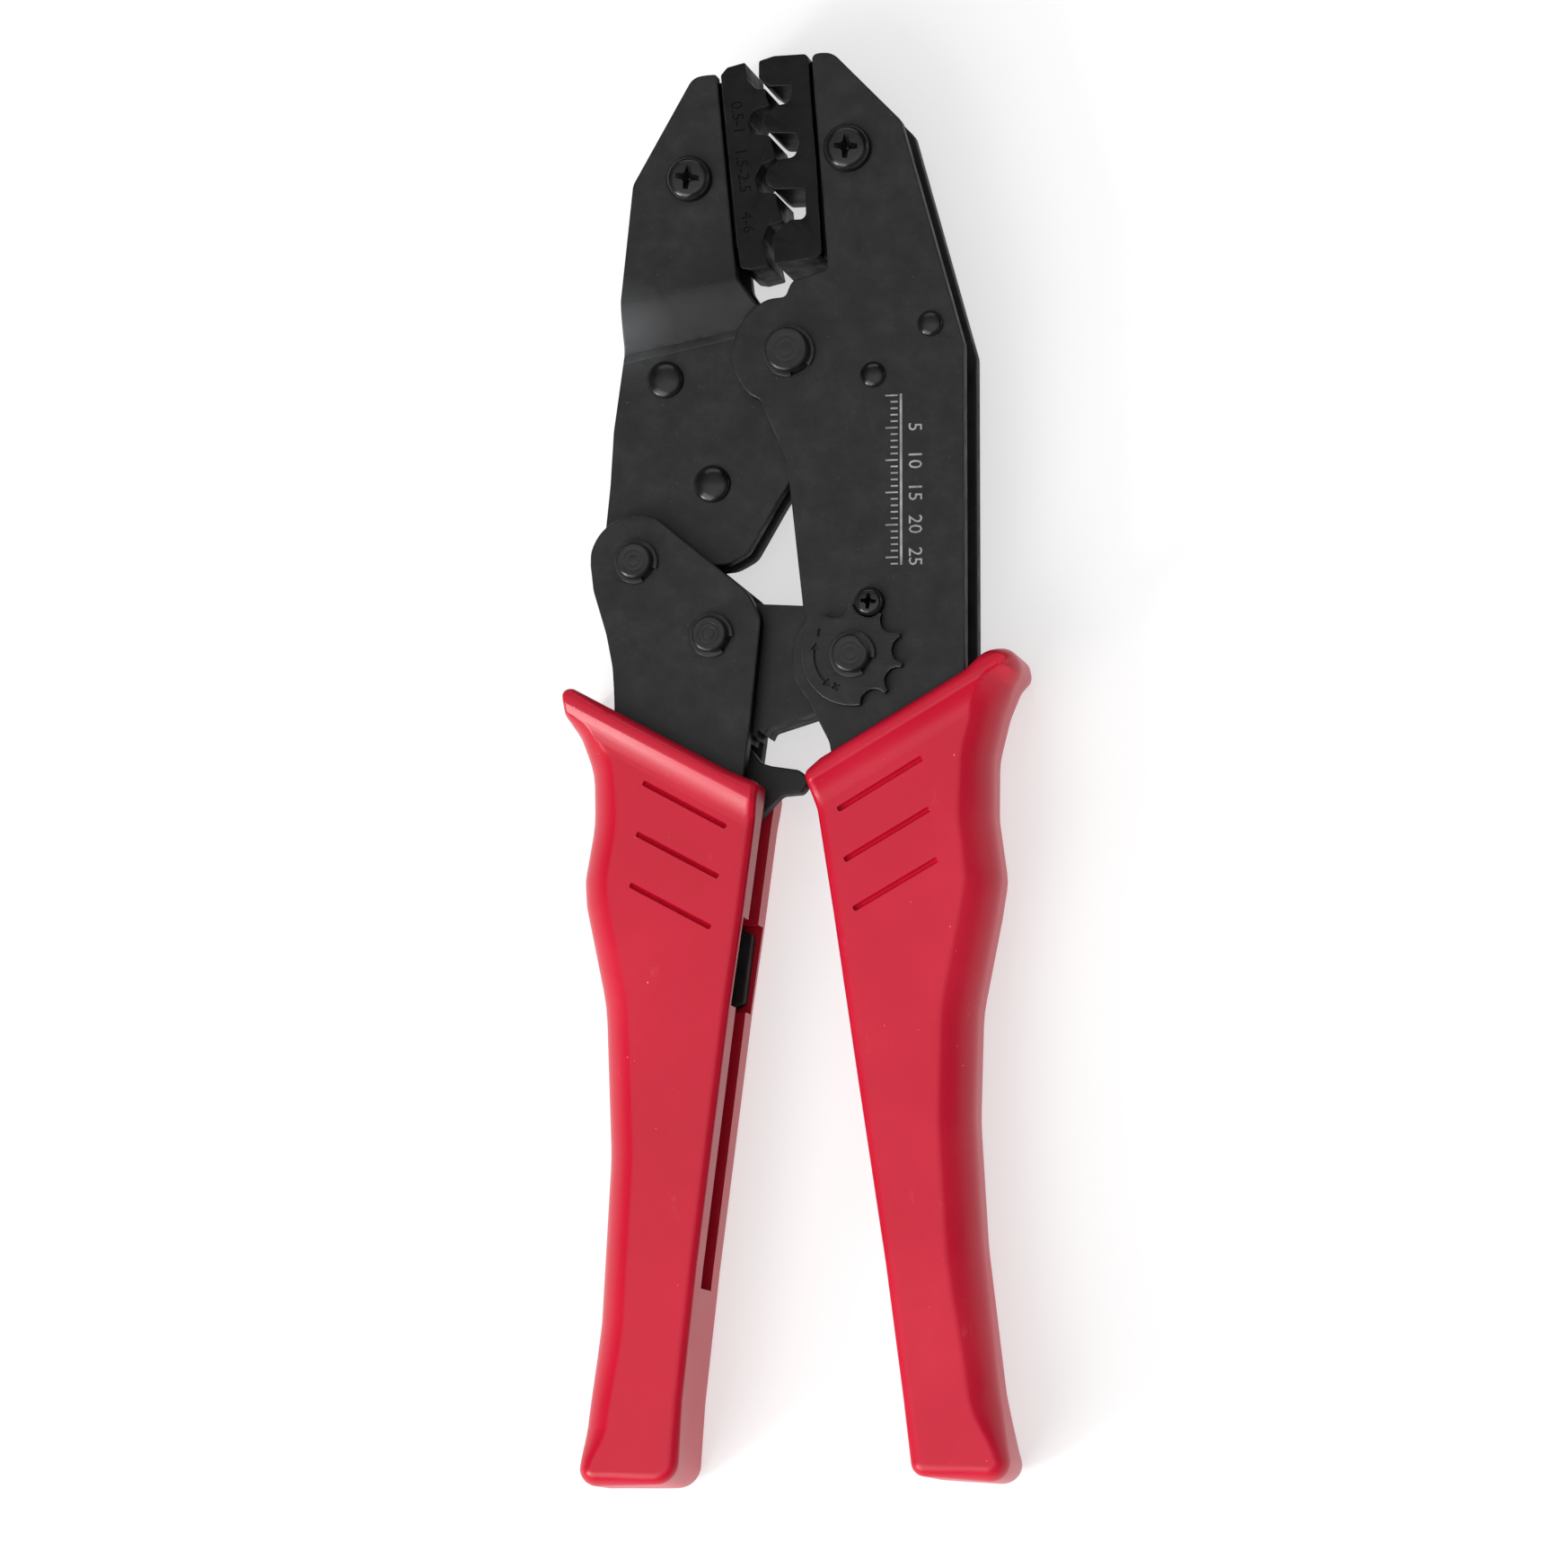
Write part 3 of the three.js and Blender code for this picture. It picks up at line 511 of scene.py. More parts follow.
def prism(corners, z0, z1):
    """An upright prism over plan corners, between two heights."""
    bm = bmesh.new()
    low = [bm.verts.new((p.x, p.y, z0)) for p in corners]
    high = [bm.verts.new((p.x, p.y, z1)) for p in corners]
    n = len(corners)
    bm.faces.new(low)
    bm.faces.new(high)
    for i in range(n):
        bm.faces.new((low[i], low[(i + 1) % n], high[(i + 1) % n], high[i]))
    bmesh.ops.recalc_face_normals(bm, faces=bm.faces)
    mesh = bpy.data.meshes.new("prism")
    bm.to_mesh(mesh)
    bm.free()
    return mesh


def centre(node):
    low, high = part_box(node)
    return (low + high) / 2


# ------------------------------------------------------------------ stamped plates
RIM = 0.30 * MM                 # radius of a stamped plate's rolled rims


def stamped(node, rim=RIM, name=None):
    """A plate cut to the plan outline of its CAD node."""
    low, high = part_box(node)
    loops = [smooth(loop) for loop in section(node, (low.z + high.z) / 2)]
    mesh = plate(loops, low.z, high.z, rim)
    add(name or node + "_stamped", mesh, PLATE, BODY_OF[node], [node])


for node in ("frame_plate_front", "frame_plate_back", "lever_plate_front", "lever_plate_back"):
    stamped(node)
for node in ("link_plate_front", "link_plate_back"):
    stamped(node, 0.22 * MM)
stamped("pawl", 0.35 * MM)

# Jaw plates: cut flat from their plan outline, then joggled outwards across a short bend.
BEND = math.radians(11)         # the bend's line, turned from the X axis
BEND_LOW, BEND_HIGH = 5.9 * MM, 13.2 * MM
JAW_T = 2.5 * MM
JAW_IN = 1.7 * MM
JOGGLE = 2.95 * MM
PRESS_MARKS = (BEND_LOW, BEND_LOW - 1.3 * MM)
PRESS_DEEP = 0.07 * MM
MARK_CUTS = (-1.45, -1.3, -1.15, -0.15, 0.15)      # extra rows beside the marks, in mm from BEND_LOW


def bend_step(v):
    """How far the sheet stands out at a distance v across the bend, with two fine press marks."""
    t = max(0.0, min(1.0, (v - BEND_LOW) / (BEND_HIGH - BEND_LOW)))
    marked = any(abs(v - at) < 0.06 * MM for at in PRESS_MARKS)
    return (1 - (1 - t) ** 1.5) * JOGGLE - (PRESS_DEEP if marked else 0)


def joggled(node, way):
    """A jaw plate on the front side (way 1) or the rear side (way -1)."""
    bm = bmesh.new()
    bm.from_mesh(NODES[node].data)
    others = [f for f in bm.faces if f.normal.z * way <= 0.5]
    bmesh.ops.delete(bm, geom=others, context="FACES")
    for v in bm.verts:
        v.co.z = 0
    bmesh.ops.remove_doubles(bm, verts=bm.verts, dist=4e-6)
    rims = walked(e for e in bm.edges if len(e.link_faces) == 1)
    loops = [smooth(without_straights(points)) for points in rims if len(points) > 5]
    bm.free()
    loops.sort(key=lambda p: -abs(area(p)))
    mesh = plate(loops, 0, JAW_T, RIM)
    bm = bmesh.new()
    bm.from_mesh(mesh)
    along = Vector((-math.sin(BEND), math.cos(BEND), 0))
    cuts = [BEND_LOW + (BEND_HIGH - BEND_LOW) * i / 14 for i in range(15)]
    cuts += [BEND_LOW + d * MM for d in MARK_CUTS]
    for v in sorted(cuts):
        bmesh.ops.bisect_plane(bm, geom=bm.verts[:] + bm.edges[:] + bm.faces[:], dist=1e-7,
                               plane_co=PIVOT.xy.to_3d() + along * v, plane_no=along)
    for vert in bm.verts:
        v = (vert.co.xy - PIVOT.xy).dot(along.xy)
        vert.co.z = MID + way * (JAW_IN + vert.co.z + bend_step(v))
    bmesh.ops.recalc_face_normals(bm, faces=bm.faces)
    bm.to_mesh(mesh)
    bm.free()
    add(node + "_joggled", mesh, JAW, BODY_OF[node], [node])


joggled("jaw_plate_front", 1)
joggled("jaw_plate_back", -1)


# ------------------------------------------------------------------ dies
def engraved(text, at, size, turn, depth):
    """A cutter in the shape of some digits, standing through the face at a height of at.z."""
    curve = bpy.data.curves.new("digits", "FONT")
    curve.body = text
    curve.size = size
    curve.align_x = "CENTER"
    curve.align_y = "CENTER"
    curve.extrude = depth
    curve.resolution_u = 2
    obj = bpy.data.objects.new("digits", curve)
    SCENE.collection.objects.link(obj)
    mesh = baked(obj)
    mesh.transform(Matrix.Translation(at) @ Matrix.Rotation(turn, 4, "Z"))
    return mesh


FRAME_IN = 4.25 * MM            # half the clear space between the frame plates
DIGITS = 2.6 * MM
DIGITS_DEEP = 0.28 * MM
DIGITS_TURN = math.radians(-83.5)


def die(node, marks=()):
    """A die: the block, and the tongue that reaches between the plates."""
    low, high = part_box(node)
    block = [smooth(section(node, high.z - 0.3 * MM)[0], finest=0.12 * MM)]
    mesh = plate(block, low.z, high.z, 0.16 * MM, 2)
    if marks:
        mesh = cut_away(mesh, marks)
    half = JAW_IN + JOGGLE - 0.1 * MM if node == "moving_die" else FRAME_IN
    inner = [smooth(loop, finest=0.12 * MM) for loop in section(node, MID)]
    mesh = merged([mesh, plate(inner, MID - half, MID + half, 0.1 * MM, 1)])
    add(node + "_ground", mesh, DIE, BODY_OF[node], [node], 30)


die("fixed_die")
DIE_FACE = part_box("moving_die")[1].z
WIRE_SIZES = (("0.5-1", -8.1, 36.9), ("1.5-2.5", -7.3, 28.6), ("4-6", -6.5, 20.4))
die("moving_die", [
    engraved(text, Vector((*from_pivot(x, y).xy, DIE_FACE)), DIGITS, DIGITS_TURN, DIGITS_DEEP)
    for text, x, y in WIRE_SIZES
])


# ------------------------------------------------------------------ pins, rings, rivets, screws
FLANGE = 0.9 * MM               # how far a pin's rear head stands out from its shank
NECK, NECK_LONG = 0.4 * MM, 0.8 * MM    # depth and length of the groove for the clip


def pin(at, radius, low, seat, top, rings):
    """Headed pin: flange at the rear, shank, clip groove, and a flat front end with turning rings."""
    r = radius
    head = r + FLANGE
    neck = r - NECK
    return lathe([
        (0, low + 0.05 * MM), (r * 0.35, low + 0.02 * MM), (head - 0.35 * MM, low),
        (head - 0.1 * MM, low + 0.09 * MM), (head, low + 0.34 * MM),
        (head, REAR - 0.06 * MM), (r, REAR - 0.05 * MM), (r, seat + 0.02 * MM),
        (neck, seat + 0.02 * MM), (neck, seat + NECK_LONG), (r - 0.06 * MM, seat + NECK_LONG),
        (r, seat + NECK_LONG + 0.06 * MM), (r, top - 0.42 * MM), (r - 0.10 * MM, top - 0.16 * MM),
        (r - 0.36 * MM, top), (r * 0.62, top), (r * 0.60, top - rings), (r * 0.56, top - rings),
        (r * 0.54, top), (r * 0.36, top), (r * 0.34, top - rings), (r * 0.30, top - rings),
        (r * 0.28, top), (0, top),
    ], at)


RING_GAP = 48                   # degrees of a spring clip left open
RING_STEPS = 56


def ring(node, inner, outer, open_at):
    """An open spring clip with its gap at the angle open_at."""
    at = centre(node)
    low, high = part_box(node)
    half = math.radians(RING_GAP / 2)
    start, end = math.radians(open_at) + half, math.radians(open_at) - half + 2 * math.pi
    arc = [start + (end - start) * i / RING_STEPS for i in range(RING_STEPS + 1)]
    loop = [at.xy + Vector((math.cos(a), math.sin(a))) * outer for a in arc]
    loop += [at.xy + Vector((math.cos(a), math.sin(a))) * inner for a in reversed(arc)]
    mesh = plate([loop], low.z, high.z, 0.12 * MM, 2)
    add(node + "_sprung", mesh, RING, BODY_OF[node], [node])


R_MAIN, R_PIN, R_SHANK = 3.4 * MM, 2.75 * MM, 2.9 * MM
WHEEL_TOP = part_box("adjuster_wheel")[1].z
JOURNAL, JOURNAL_HALF = 3.7 * MM, 4.2 * MM
# Each pin with its clip: shank radius, clip radius, where the clip opens, its seat, and the rings' depth.
JOINT_PINS = (
    ("main_pivot_pin", "main_pivot_ring", R_MAIN, 4.05 * MM, -60, FRONT, 0.008 * MM),
    ("jaw_link_pin", "jaw_link_ring", R_PIN, 3.45 * MM, -45, FRONT, 0.01 * MM),
    ("toggle_pin", "toggle_ring", R_PIN, 3.45 * MM, -30, FRONT, 0.04 * MM),
    ("adjuster_pin", "adjuster_ring", R_SHANK, 3.6 * MM, -35, WHEEL_TOP, 0.008 * MM),
)


def flat_tool(at, z0, z1):
    """Cutter for the flat on the side of the adjuster's shank."""
    turn = math.radians(40)
    away = Vector((math.cos(turn), math.sin(turn)))
    side = Vector((-away.y, away.x)) * 4 * MM
    edge = at.xy + away * 2.2 * MM
    out = away * 4 * MM
    return prism([edge + side, edge - side, edge - side + out, edge + side + out], z0, z1)


for node, clip, radius, outer, open_at, seat, rings in JOINT_PINS:
    at = centre(clip)
    low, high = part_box(node)
    mesh = pin(at, radius, low.z, seat, high.z, rings)
    if node == "adjuster_pin":
        mesh = cut_away(mesh, [flat_tool(at, seat + 1.0 * MM, high.z + 2 * MM)])
        bottom, top = MID - JOURNAL_HALF, MID + JOURNAL_HALF
        throw = lathe([(0, bottom), (JOURNAL, bottom), (JOURNAL, top), (0, top)], JOINT_AT["link_swing"])
        mesh = merged([mesh, throw])
    add(node + "_turned", mesh, PIN, BODY_OF[node], [node], 20)
    ring(clip, radius - 0.3 * MM, outer, open_at)


DOME_STEPS = 9


def dome(r, z, way, rise):
    """Profile of a rivet head: a thin flat edge and then a low rounded cap."""
    lip = rise * 0.16
    points = [(r, z), (r, z + way * lip)]
    for i in range(1, DOME_STEPS):
        a = math.pi / 2 * i / DOME_STEPS
        points.append((r * math.cos(a), z + way * (lip + (rise - lip) * math.sin(a))))
    return points + [(0, z + way * rise)]


for node in ("jaw_rivet_upper", "jaw_rivet_lower", "frame_rivet_upper", "frame_rivet_lower"):
    at = centre(node)
    low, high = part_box(node)
    r = (high.x - low.x) / 2 * 1.02
    rise, shank = (1.1 * MM, 2.0 * MM) if node.startswith("jaw") else (0.8 * MM, 1.3 * MM)
    rear = list(reversed(dome(r, low.z + rise, -1, rise)))
    fore = dome(r, high.z - rise, 1, rise)
    mesh = lathe([*rear, (shank, low.z + rise), (shank, high.z - rise), *fore], at)
    add(node + "_domed", mesh, RIVET, BODY_OF[node], [node], 50)


# A cross recess from its floor up: part of its full size, and part of the head's rise.
RECESS = ((0.12, 0.05), (1.0, 0.9), (1.08, 1.2))


def cross_tool(at, seat, rise, turn, cross):
    """Cutter for a tapered cross recess whose arms reach out to cross."""
    half, bevel = cross * 0.27, cross * 0.16
    arm = ((cross, -half * 0.75), (cross, half * 0.75), (half + bevel, half), (half, half + bevel))
    corners = []
    for k in range(4):
        quarter = Matrix.Rotation(math.radians(turn + 90 * k), 2)
        corners += [at.xy + quarter @ Vector(p) for p in arm]
    bm = bmesh.new()
    rings = [[bm.verts.new((*at.xy.lerp(c, scale), seat + rise * up)) for c in corners]
             for scale, up in RECESS]
    for below, above in zip(rings, rings[1:]):
        for i in range(len(corners)):
            j = (i + 1) % len(corners)
            bm.faces.new((below[i], below[j], above[j], above[i]))
    bm.faces.new(rings[0])
    bm.faces.new(rings[-1])
    bmesh.ops.recalc_face_normals(bm, faces=bm.faces)
    mesh = bpy.data.meshes.new("cross")
    bm.to_mesh(mesh)
    bm.free()
    return mesh


def pan_screw(node, head, rise, shank, turn, cross):
    """Pan head with a cross recess, turned by so many degrees."""
    at = centre(node)
    low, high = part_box(node)
    seat = high.z - rise
    profile = [(0, low.z), (shank - 0.3 * MM, low.z), (shank, low.z + 0.3 * MM), (shank, seat),
               (head - 0.1 * MM, seat), (head, seat + 0.1 * MM), (head, seat + rise * 0.30)]
    for i in range(1, 9):
        a = math.pi / 2 * i / 8
        profile.append((head * (0.62 + 0.38 * math.cos(a)), seat + rise * (0.30 + 0.66 * math.sin(a))))
    profile += [(head * 0.3, seat + rise * 0.99), (0, seat + rise)]
    mesh = cut_away(lathe(profile, at), [cross_tool(at, seat, rise, turn, cross)])
    add(node + "_pan", mesh, SCREW, BODY_OF[node], [node], 32)


pan_screw("fixed_die_screw", 3.7 * MM, 2.0 * MM, 2.0 * MM, -4, 1.85 * MM)
pan_screw("moving_die_screw", 3.55 * MM, 2.0 * MM, 2.0 * MM, -9, 1.85 * MM)
pan_screw("adjuster_lock_screw", 2.3 * MM, 1.9 * MM, 1.25 * MM, -6, 1.2 * MM)


# ------------------------------------------------------------------ adjuster wheel
def stroke(points, width, z, depth):
    """A cutter along a line of points, square in section."""
    left, right = [], []
    for i, p in enumerate(points):
        a, b = points[max(0, i - 1)], points[min(len(points) - 1, i + 1)]
        across = Vector((-(b - a).y, (b - a).x)).normalized() * width / 2
        left.append(p + across)
        right.append(p - across)
    return prism(left + right[::-1], z - depth, z + depth)


MARK_WIDE, MARK_DEEP = 0.42 * MM, 0.55 * MM


def wheel():
    """The adjuster wheel with a minus, a two-headed arc and a plus pressed into its face."""
    node = "adjuster_wheel"
    low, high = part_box(node)
    at = centre("adjuster_ring").xy
    loops = [smooth(loop, finest=0.15 * MM) for loop in section(node, (low.z + high.z) / 2)]
    mesh = plate(loops, low.z, high.z, 0.2 * MM)

    def spot(r, degrees):
        a = math.radians(degrees)
        return at + Vector((math.cos(a), math.sin(a))) * r

    def mark(points):
        return stroke(points, MARK_WIDE, high.z, MARK_DEEP)

    arc = [spot(5.8 * MM, a) for a in range(172, 226, 4)]
    tools = [mark(arc)]
    for tip, way in ((arc[0], 1), (arc[-1], -1)):
        out = (tip - at).normalized()
        along = Vector((-out.y, out.x)) * -way
        arrow = [tip + along * 1.15 * MM, tip + out * 0.72 * MM, tip - out * 0.72 * MM]
        tools.append(prism(arrow, high.z - MARK_DEEP, high.z + MARK_DEEP))
    minus = spot(6.2 * MM, 146)
    plus = spot(5.5 * MM, 243)
    for place, arm in ((minus, (0.1, 0.6)), (plus, (0.62, 0.2)), (plus, (-0.2, 0.62))):
        d = Vector(arm) * MM
        tools.append(mark([place + d, place - d]))
    mesh = cut_away(mesh, tools)
    add(node + "_marked", mesh, WHEEL, BODY_OF[node], [node], 32)


wheel()


# ------------------------------------------------------------------ grips
GRIP_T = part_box("fixed_grip")[1].z
HALF = GRIP_T / 2
OUTLINE_STEP = 1.4              # mm between the points of a grip's outline
FILLET_STEP = 12                # degrees between the points of a fillet


def filleted(corners):
    """Outline points with their edge size, from corners of x, y, fillet, edge inset, edge depth in mm."""
    out = []
    n = len(corners)
    for i, (x, y, fillet, *edge) in enumerate(corners):
        here = Vector((x, y))
        back = Vector(corners[i - 1][:2]) - here
        ahead = Vector(corners[(i + 1) % n][:2]) - here
        half = back.angle(ahead) / 2
        reach = min(fillet / math.tan(half), 0.48 * back.length, 0.48 * ahead.length)
        radius = reach * math.tan(half)
        middle = here + (back.normalized() + ahead.normalized()).normalized() * radius / math.sin(half)
        first = here + back.normalized() * reach - middle
        sweep = first.angle_signed(here + ahead.normalized() * reach - middle)
        steps = max(2, math.ceil(abs(math.degrees(sweep)) / FILLET_STEP))
        for k in range(steps + 1):
            turned = Matrix.Rotation(-sweep * k / steps, 2) @ first
            out.append((middle + turned, Vector(edge)))
    filled = []
    for (p, r), (q, t) in zip(out, out[1:] + out[:1]):
        parts = max(1, math.ceil((q - p).length / OUTLINE_STEP))
        for k in range(parts):
            u = k / parts
            filled.append((p.lerp(q, u), r.lerp(t, u * u * (3 - 2 * u))))
    return filled


def evened(values, rounds):
    """Values round a loop, each drawn towards its neighbours."""
    for _ in range(rounds):
        n = len(values)
        values = [(values[i - 1] + 2 * values[i] + values[(i + 1) % n]) / 4 for i in range(n)]
    return values


EDGE_STEPS = 9                  # rows from the middle plane to a face
SHOULDER = 27                   # degrees by which a wide edge stops short of the face
NARROW, WIDE = 1.9, 4.1         # mm of inset at which the shoulder starts and is full
REAR_FROM, REAR_MOST = 2.2, 9.0     # mm; deeper edges than the first are deeper still at the rear


def clamped(v):
    return min(1.0, max(0.0, v))


def pillow(corners):
    """A thick slab over an outline, each edge rounded as far in and as deep as its corners ask."""
    points = filleted(corners)
    if area([p for p, _ in points]) < 0:
        points.reverse()
    places = [p for p, _ in points]
    n = len(places)
    radii = evened([r for _, r in points], 2)
    inward = []
    for i in range(n):
        run = places[(i + 1) % n] - places[i - 1]
        inward.append(Vector((-run.y, run.x)).normalized())
    half = HALF / MM
    bm = bmesh.new()
    rings = []
    levels = [(k / EDGE_STEPS, -1) for k in range(EDGE_STEPS, -1, -1)]
    levels += [(k / EDGE_STEPS, 1) for k in range(EDGE_STEPS + 1)]
    for part, way in levels:
        ring = []
        for place, r, unit in zip(places, radii, inward):
            # A wide edge meets the face at a shoulder; a narrow one runs into it smoothly.
            turn = math.radians(90 - SHOULDER * clamped((r.x - NARROW) / (WIDE - NARROW)))
            t = turn * part
            at = place + unit * r.x * (1 - math.cos(t)) / (1 - math.cos(turn))
            deep = r.y if way > 0 else min(REAR_MOST, r.y + 3 * max(0.0, r.y - REAR_FROM))
            z = way * (half - deep * (1 - math.sin(t) / math.sin(turn)))
            ring.append(bm.verts.new(from_pivot(at.x, at.y, z)))
        rings.append(ring)
    for low, high in zip(rings, rings[1:]):
        for i in range(n):
            j = (i + 1) % n
            bm.faces.new((low[i], low[j], high[j], high[i]))
    bm.faces.new(rings[0])
    bm.faces.new(rings[-1])
    bmesh.ops.recalc_face_normals(bm, faces=bm.faces)
    return bm


# The lip along a grip's mouth: distance from the mouth and height over the flat face, in mm.
LIP = ((0.0, 0.10), (0.7, 0.26), (1.4, 0.40), (2.1, 0.44), (2.45, 0.40), (2.62, 0.30), (3.0, 0.06),
       (3.6, -0.28), (4.2, -0.56), (4.8, -0.78), (5.5, -0.93), (6.4, -1.0))
FACE_DROP = 1.0 * MM            # how far the face beyond the lip lies under the grip's highest level


def lip_height(s):
    """Height of the lip at a distance s from the mouth, both in mm."""
    for (s0, h0), (s1, h1) in zip(LIP, LIP[1:]):
        if s < s1:
            return h0 + (h1 - h0) * max(0.0, (s - s0) / (s1 - s0))
    return LIP[-1][1]


def raise_lip(bm, a, b):
    """Leaves a lip standing proud along the mouth, from a to b, and hollows a fillet under it."""
    start = from_pivot(*a)
    along = (from_pivot(*b) - start).normalized()
    down = Vector((along.y, -along.x, 0))
    if down.y > 0:
        down.negate()
    for s, _ in LIP[1:]:
        bmesh.ops.bisect_plane(bm, geom=bm.verts[:] + bm.edges[:] + bm.faces[:], dist=1e-7,
                               plane_co=start + down * s * MM, plane_no=down)
    for v in bm.verts:
        h = lip_height((v.co - start).dot(down) / MM) * MM
        level = (v.co.z - MID) / HALF
        if level > 0:
            v.co.z += h * level ** 2
        else:
            v.co.z += (0.34 * MM - h) * level ** 2 * 0.25


GROOVE_SIDES = 12
GROOVE_WIDE, GROOVE_DEEP = 0.9 * MM, 0.8 * MM


def groove(a, b):
    """Cutter for a thin groove with rounded ends, lying in the front face."""
    a, b = from_pivot(*a), from_pivot(*b)
    run = (b - a).xy
    unit = run.normalized()
    side = Vector((-unit.y, unit.x))
    bm = bmesh.new()
    rings = []
    full = run.length / MM
    stations = [(-0.32, 0.5), (-0.2, 0.85), (0.0, 1.0), (full, 1.0), (full + 0.2, 0.85), (full + 0.32, 0.5)]
    for s, k in stations:
        ring = []
        for i in range(GROOVE_SIDES):
            t = 2 * math.pi * i / GROOVE_SIDES
            p = a.xy + unit * s * MM + side * (GROOVE_WIDE / 2 * math.cos(t) * k)
            ring.append(bm.verts.new((p.x, p.y, GRIP_T - FACE_DROP + GROOVE_DEEP * math.sin(t) * k)))
        rings.append(ring)
    for low, high in zip(rings, rings[1:]):
        for i in range(GROOVE_SIDES):
            j = (i + 1) % GROOVE_SIDES
            bm.faces.new((low[i], low[j], high[j], high[i]))
    bm.faces.new(rings[0])
    bm.faces.new(rings[-1])
    bmesh.ops.recalc_face_normals(bm, faces=bm.faces)
    mesh = bpy.data.meshes.new("groove")
    bm.to_mesh(mesh)
    bm.free()
    return mesh


TAIL_ROOM = 7.3 * MM            # half the height of the space for the tail plates


def pocket(node):
    """Cutter for the space that the tail plates fill."""
    low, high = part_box(node)
    loops = [smooth(section(node, (low.z + high.z) / 2)[0])]
    return plate(loops, MID - TAIL_ROOM, MID + TAIL_ROOM, 0.02 * MM, 0, grow=0.2 * MM)


def bar(corners, z_half):
    """Cutter for a hollow, in mm from the pivot and either way from the middle plane."""
    return prism([from_pivot(*c).xy for c in corners], MID - z_half * MM, MID + z_half * MM)


def grip(node, corners, mouth, tail, hollows, grooves):
    """A moulded sleeve, hollowed for its tail plates and grooved on its face."""
    bm = pillow(corners)
    raise_lip(bm, *mouth)
    mesh = bpy.data.meshes.new("grip")
    bm.to_mesh(mesh)
    bm.free()
    cuts = [groove(a, b) for a, b in grooves]
    mesh = cut_away(mesh, [pocket(tail), *hollows, *cuts])
    add(node + "_moulded", mesh, RED, BODY_OF[node], [node], 40)


# Corners: x, y from the pivot, fillet in plan, then how far the edge rounds inwards and downwards.
LEFT_GRIP = [
    (-34.8, -55.4, 3.0, 0.8, 3.0), (-35.0, -50.5, 1.7, 0.6, 1.3), (-27.0, -54.9, 8, 1.2, 1.3),
    (-9.0, -64.7, 5, 1.3, 1.3), (-4.2, -66.8, 1.2, 1.1, 1.3), (-5.0, -72.0, 2, 1.6, 1.6),
    (-7.0, -87.0, 6, 1.6, 1.6), (-8.9, -100.0, 6, 1.6, 1.6), (-14.0, -140.0, 9, 1.6, 1.6),
    (-16.2, -160.0, 9, 1.7, 1.7), (-17.0, -172.7, 3.6, 1.9, 2.0), (-32.7, -172.9, 2.7, 2.2, 3.5),
    (-31.6, -164.0, 20, 4.2, 6.0), (-29.8, -148.0, 20, 5.0, 8.0), (-28.4, -123.0, 40, 5.0, 8.0),
    (-29.2, -100.0, 30, 5.0, 8.0), (-32.4, -84.5, 9, 5.0, 8.0), (-32.6, -80.5, 8, 5.0, 8.0),
    (-31.1, -72.0, 20, 5.0, 8.0), (-31.2, -64.4, 12, 4.6, 8.0), (-32.9, -58.9, 10, 2.8, 7.5),
]
RIGHT_GRIP = [
    (2.7, -65.4, 1.4, 1.2, 1.3), (5.2, -63.2, 3, 1.3, 1.3), (27.6, -50.2, 6, 1.4, 1.6),
    (30.4, -47.3, 5, 1.4, 2.2), (34.5, -46.8, 3.2, 1.4, 3.4), (36.1, -50.0, 2.6, 2.6, 5.0),
    (34.2, -52.6, 5, 4.2, 7.0), (32.6, -56.5, 9, 4.6, 8.0), (31.0, -63.0, 12, 4.9, 8.0),
    (30.9, -72.0, 12, 5.2, 8.0), (32.2, -81.4, 9, 5.4, 8.0), (31.3, -87.0, 9, 5.4, 8.0),
    (28.4, -101.5, 24, 5.4, 8.0), (27.9, -118.0, 40, 5.4, 8.0), (29.0, -137.0, 40, 5.4, 8.0),
    (31.6, -159.0, 20, 4.6, 6.8), (34.3, -172.9, 3.0, 2.3, 3.6), (18.9, -171.6, 2.2, 1.9, 2.0),
    (17.6, -160.0, 10, 1.7, 1.7), (15.0, -140.0, 9, 1.6, 1.6), (10.4, -109.5, 9, 1.6, 1.6),
    (7.1, -87.0, 9, 1.6, 1.6), (4.6, -71.0, 6, 1.6, 1.6),
]
grip("moving_grip", LEFT_GRIP, ((-27.0, -54.9), (-9.0, -64.7)), "lever_plate_front", [
    bar([(-16, -55), (0, -55), (0, -89), (-8, -143), (-20, -143)], 3.7),
    bar([(-12, -87), (0, -87), (0, -100.4), (-12, -100.4)], 7.4),
], [((-22.0, -66.4), (-9.6, -73.2)), ((-23.0, -74.2), (-10.8, -80.8)), ((-24.0, -82.0), (-12.0, -88.5))])
grip("fixed_grip", RIGHT_GRIP, ((5.2, -63.2), (27.8, -50.1)), "frame_plate_front", [
    bar([(16, -50), (0, -50), (0, -89), (8, -143), (22, -143)], 3.7),
], [((20.7, -63.7), (8.2, -71.0)), ((21.8, -71.5), (9.2, -78.7)), ((23.0, -79.2), (10.6, -86.2))])


# ------------------------------------------------------------------ inner pieces and the spring
for node in ("frame_spacer", "jaw_spacer", "fixed_tail_spacer", "moving_tail_spacer"):
    stamped(node, 0.15 * MM, name=node + "_pressed")
for node in ("jaw_pivot_bush", "fixed_tail_pin", "moving_tail_pin", "pawl_pin", "spring_post", "link_rivet"):
    low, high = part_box(node)
    loops = [smooth(loop) for loop in section(node, (low.z + high.z) / 2)]
    add(node + "_turned", plate(loops, low.z, high.z, 0.12 * MM, 1), PIN, BODY_OF[node], [node])


COIL_STEPS = 20                 # runs of wire to one turn


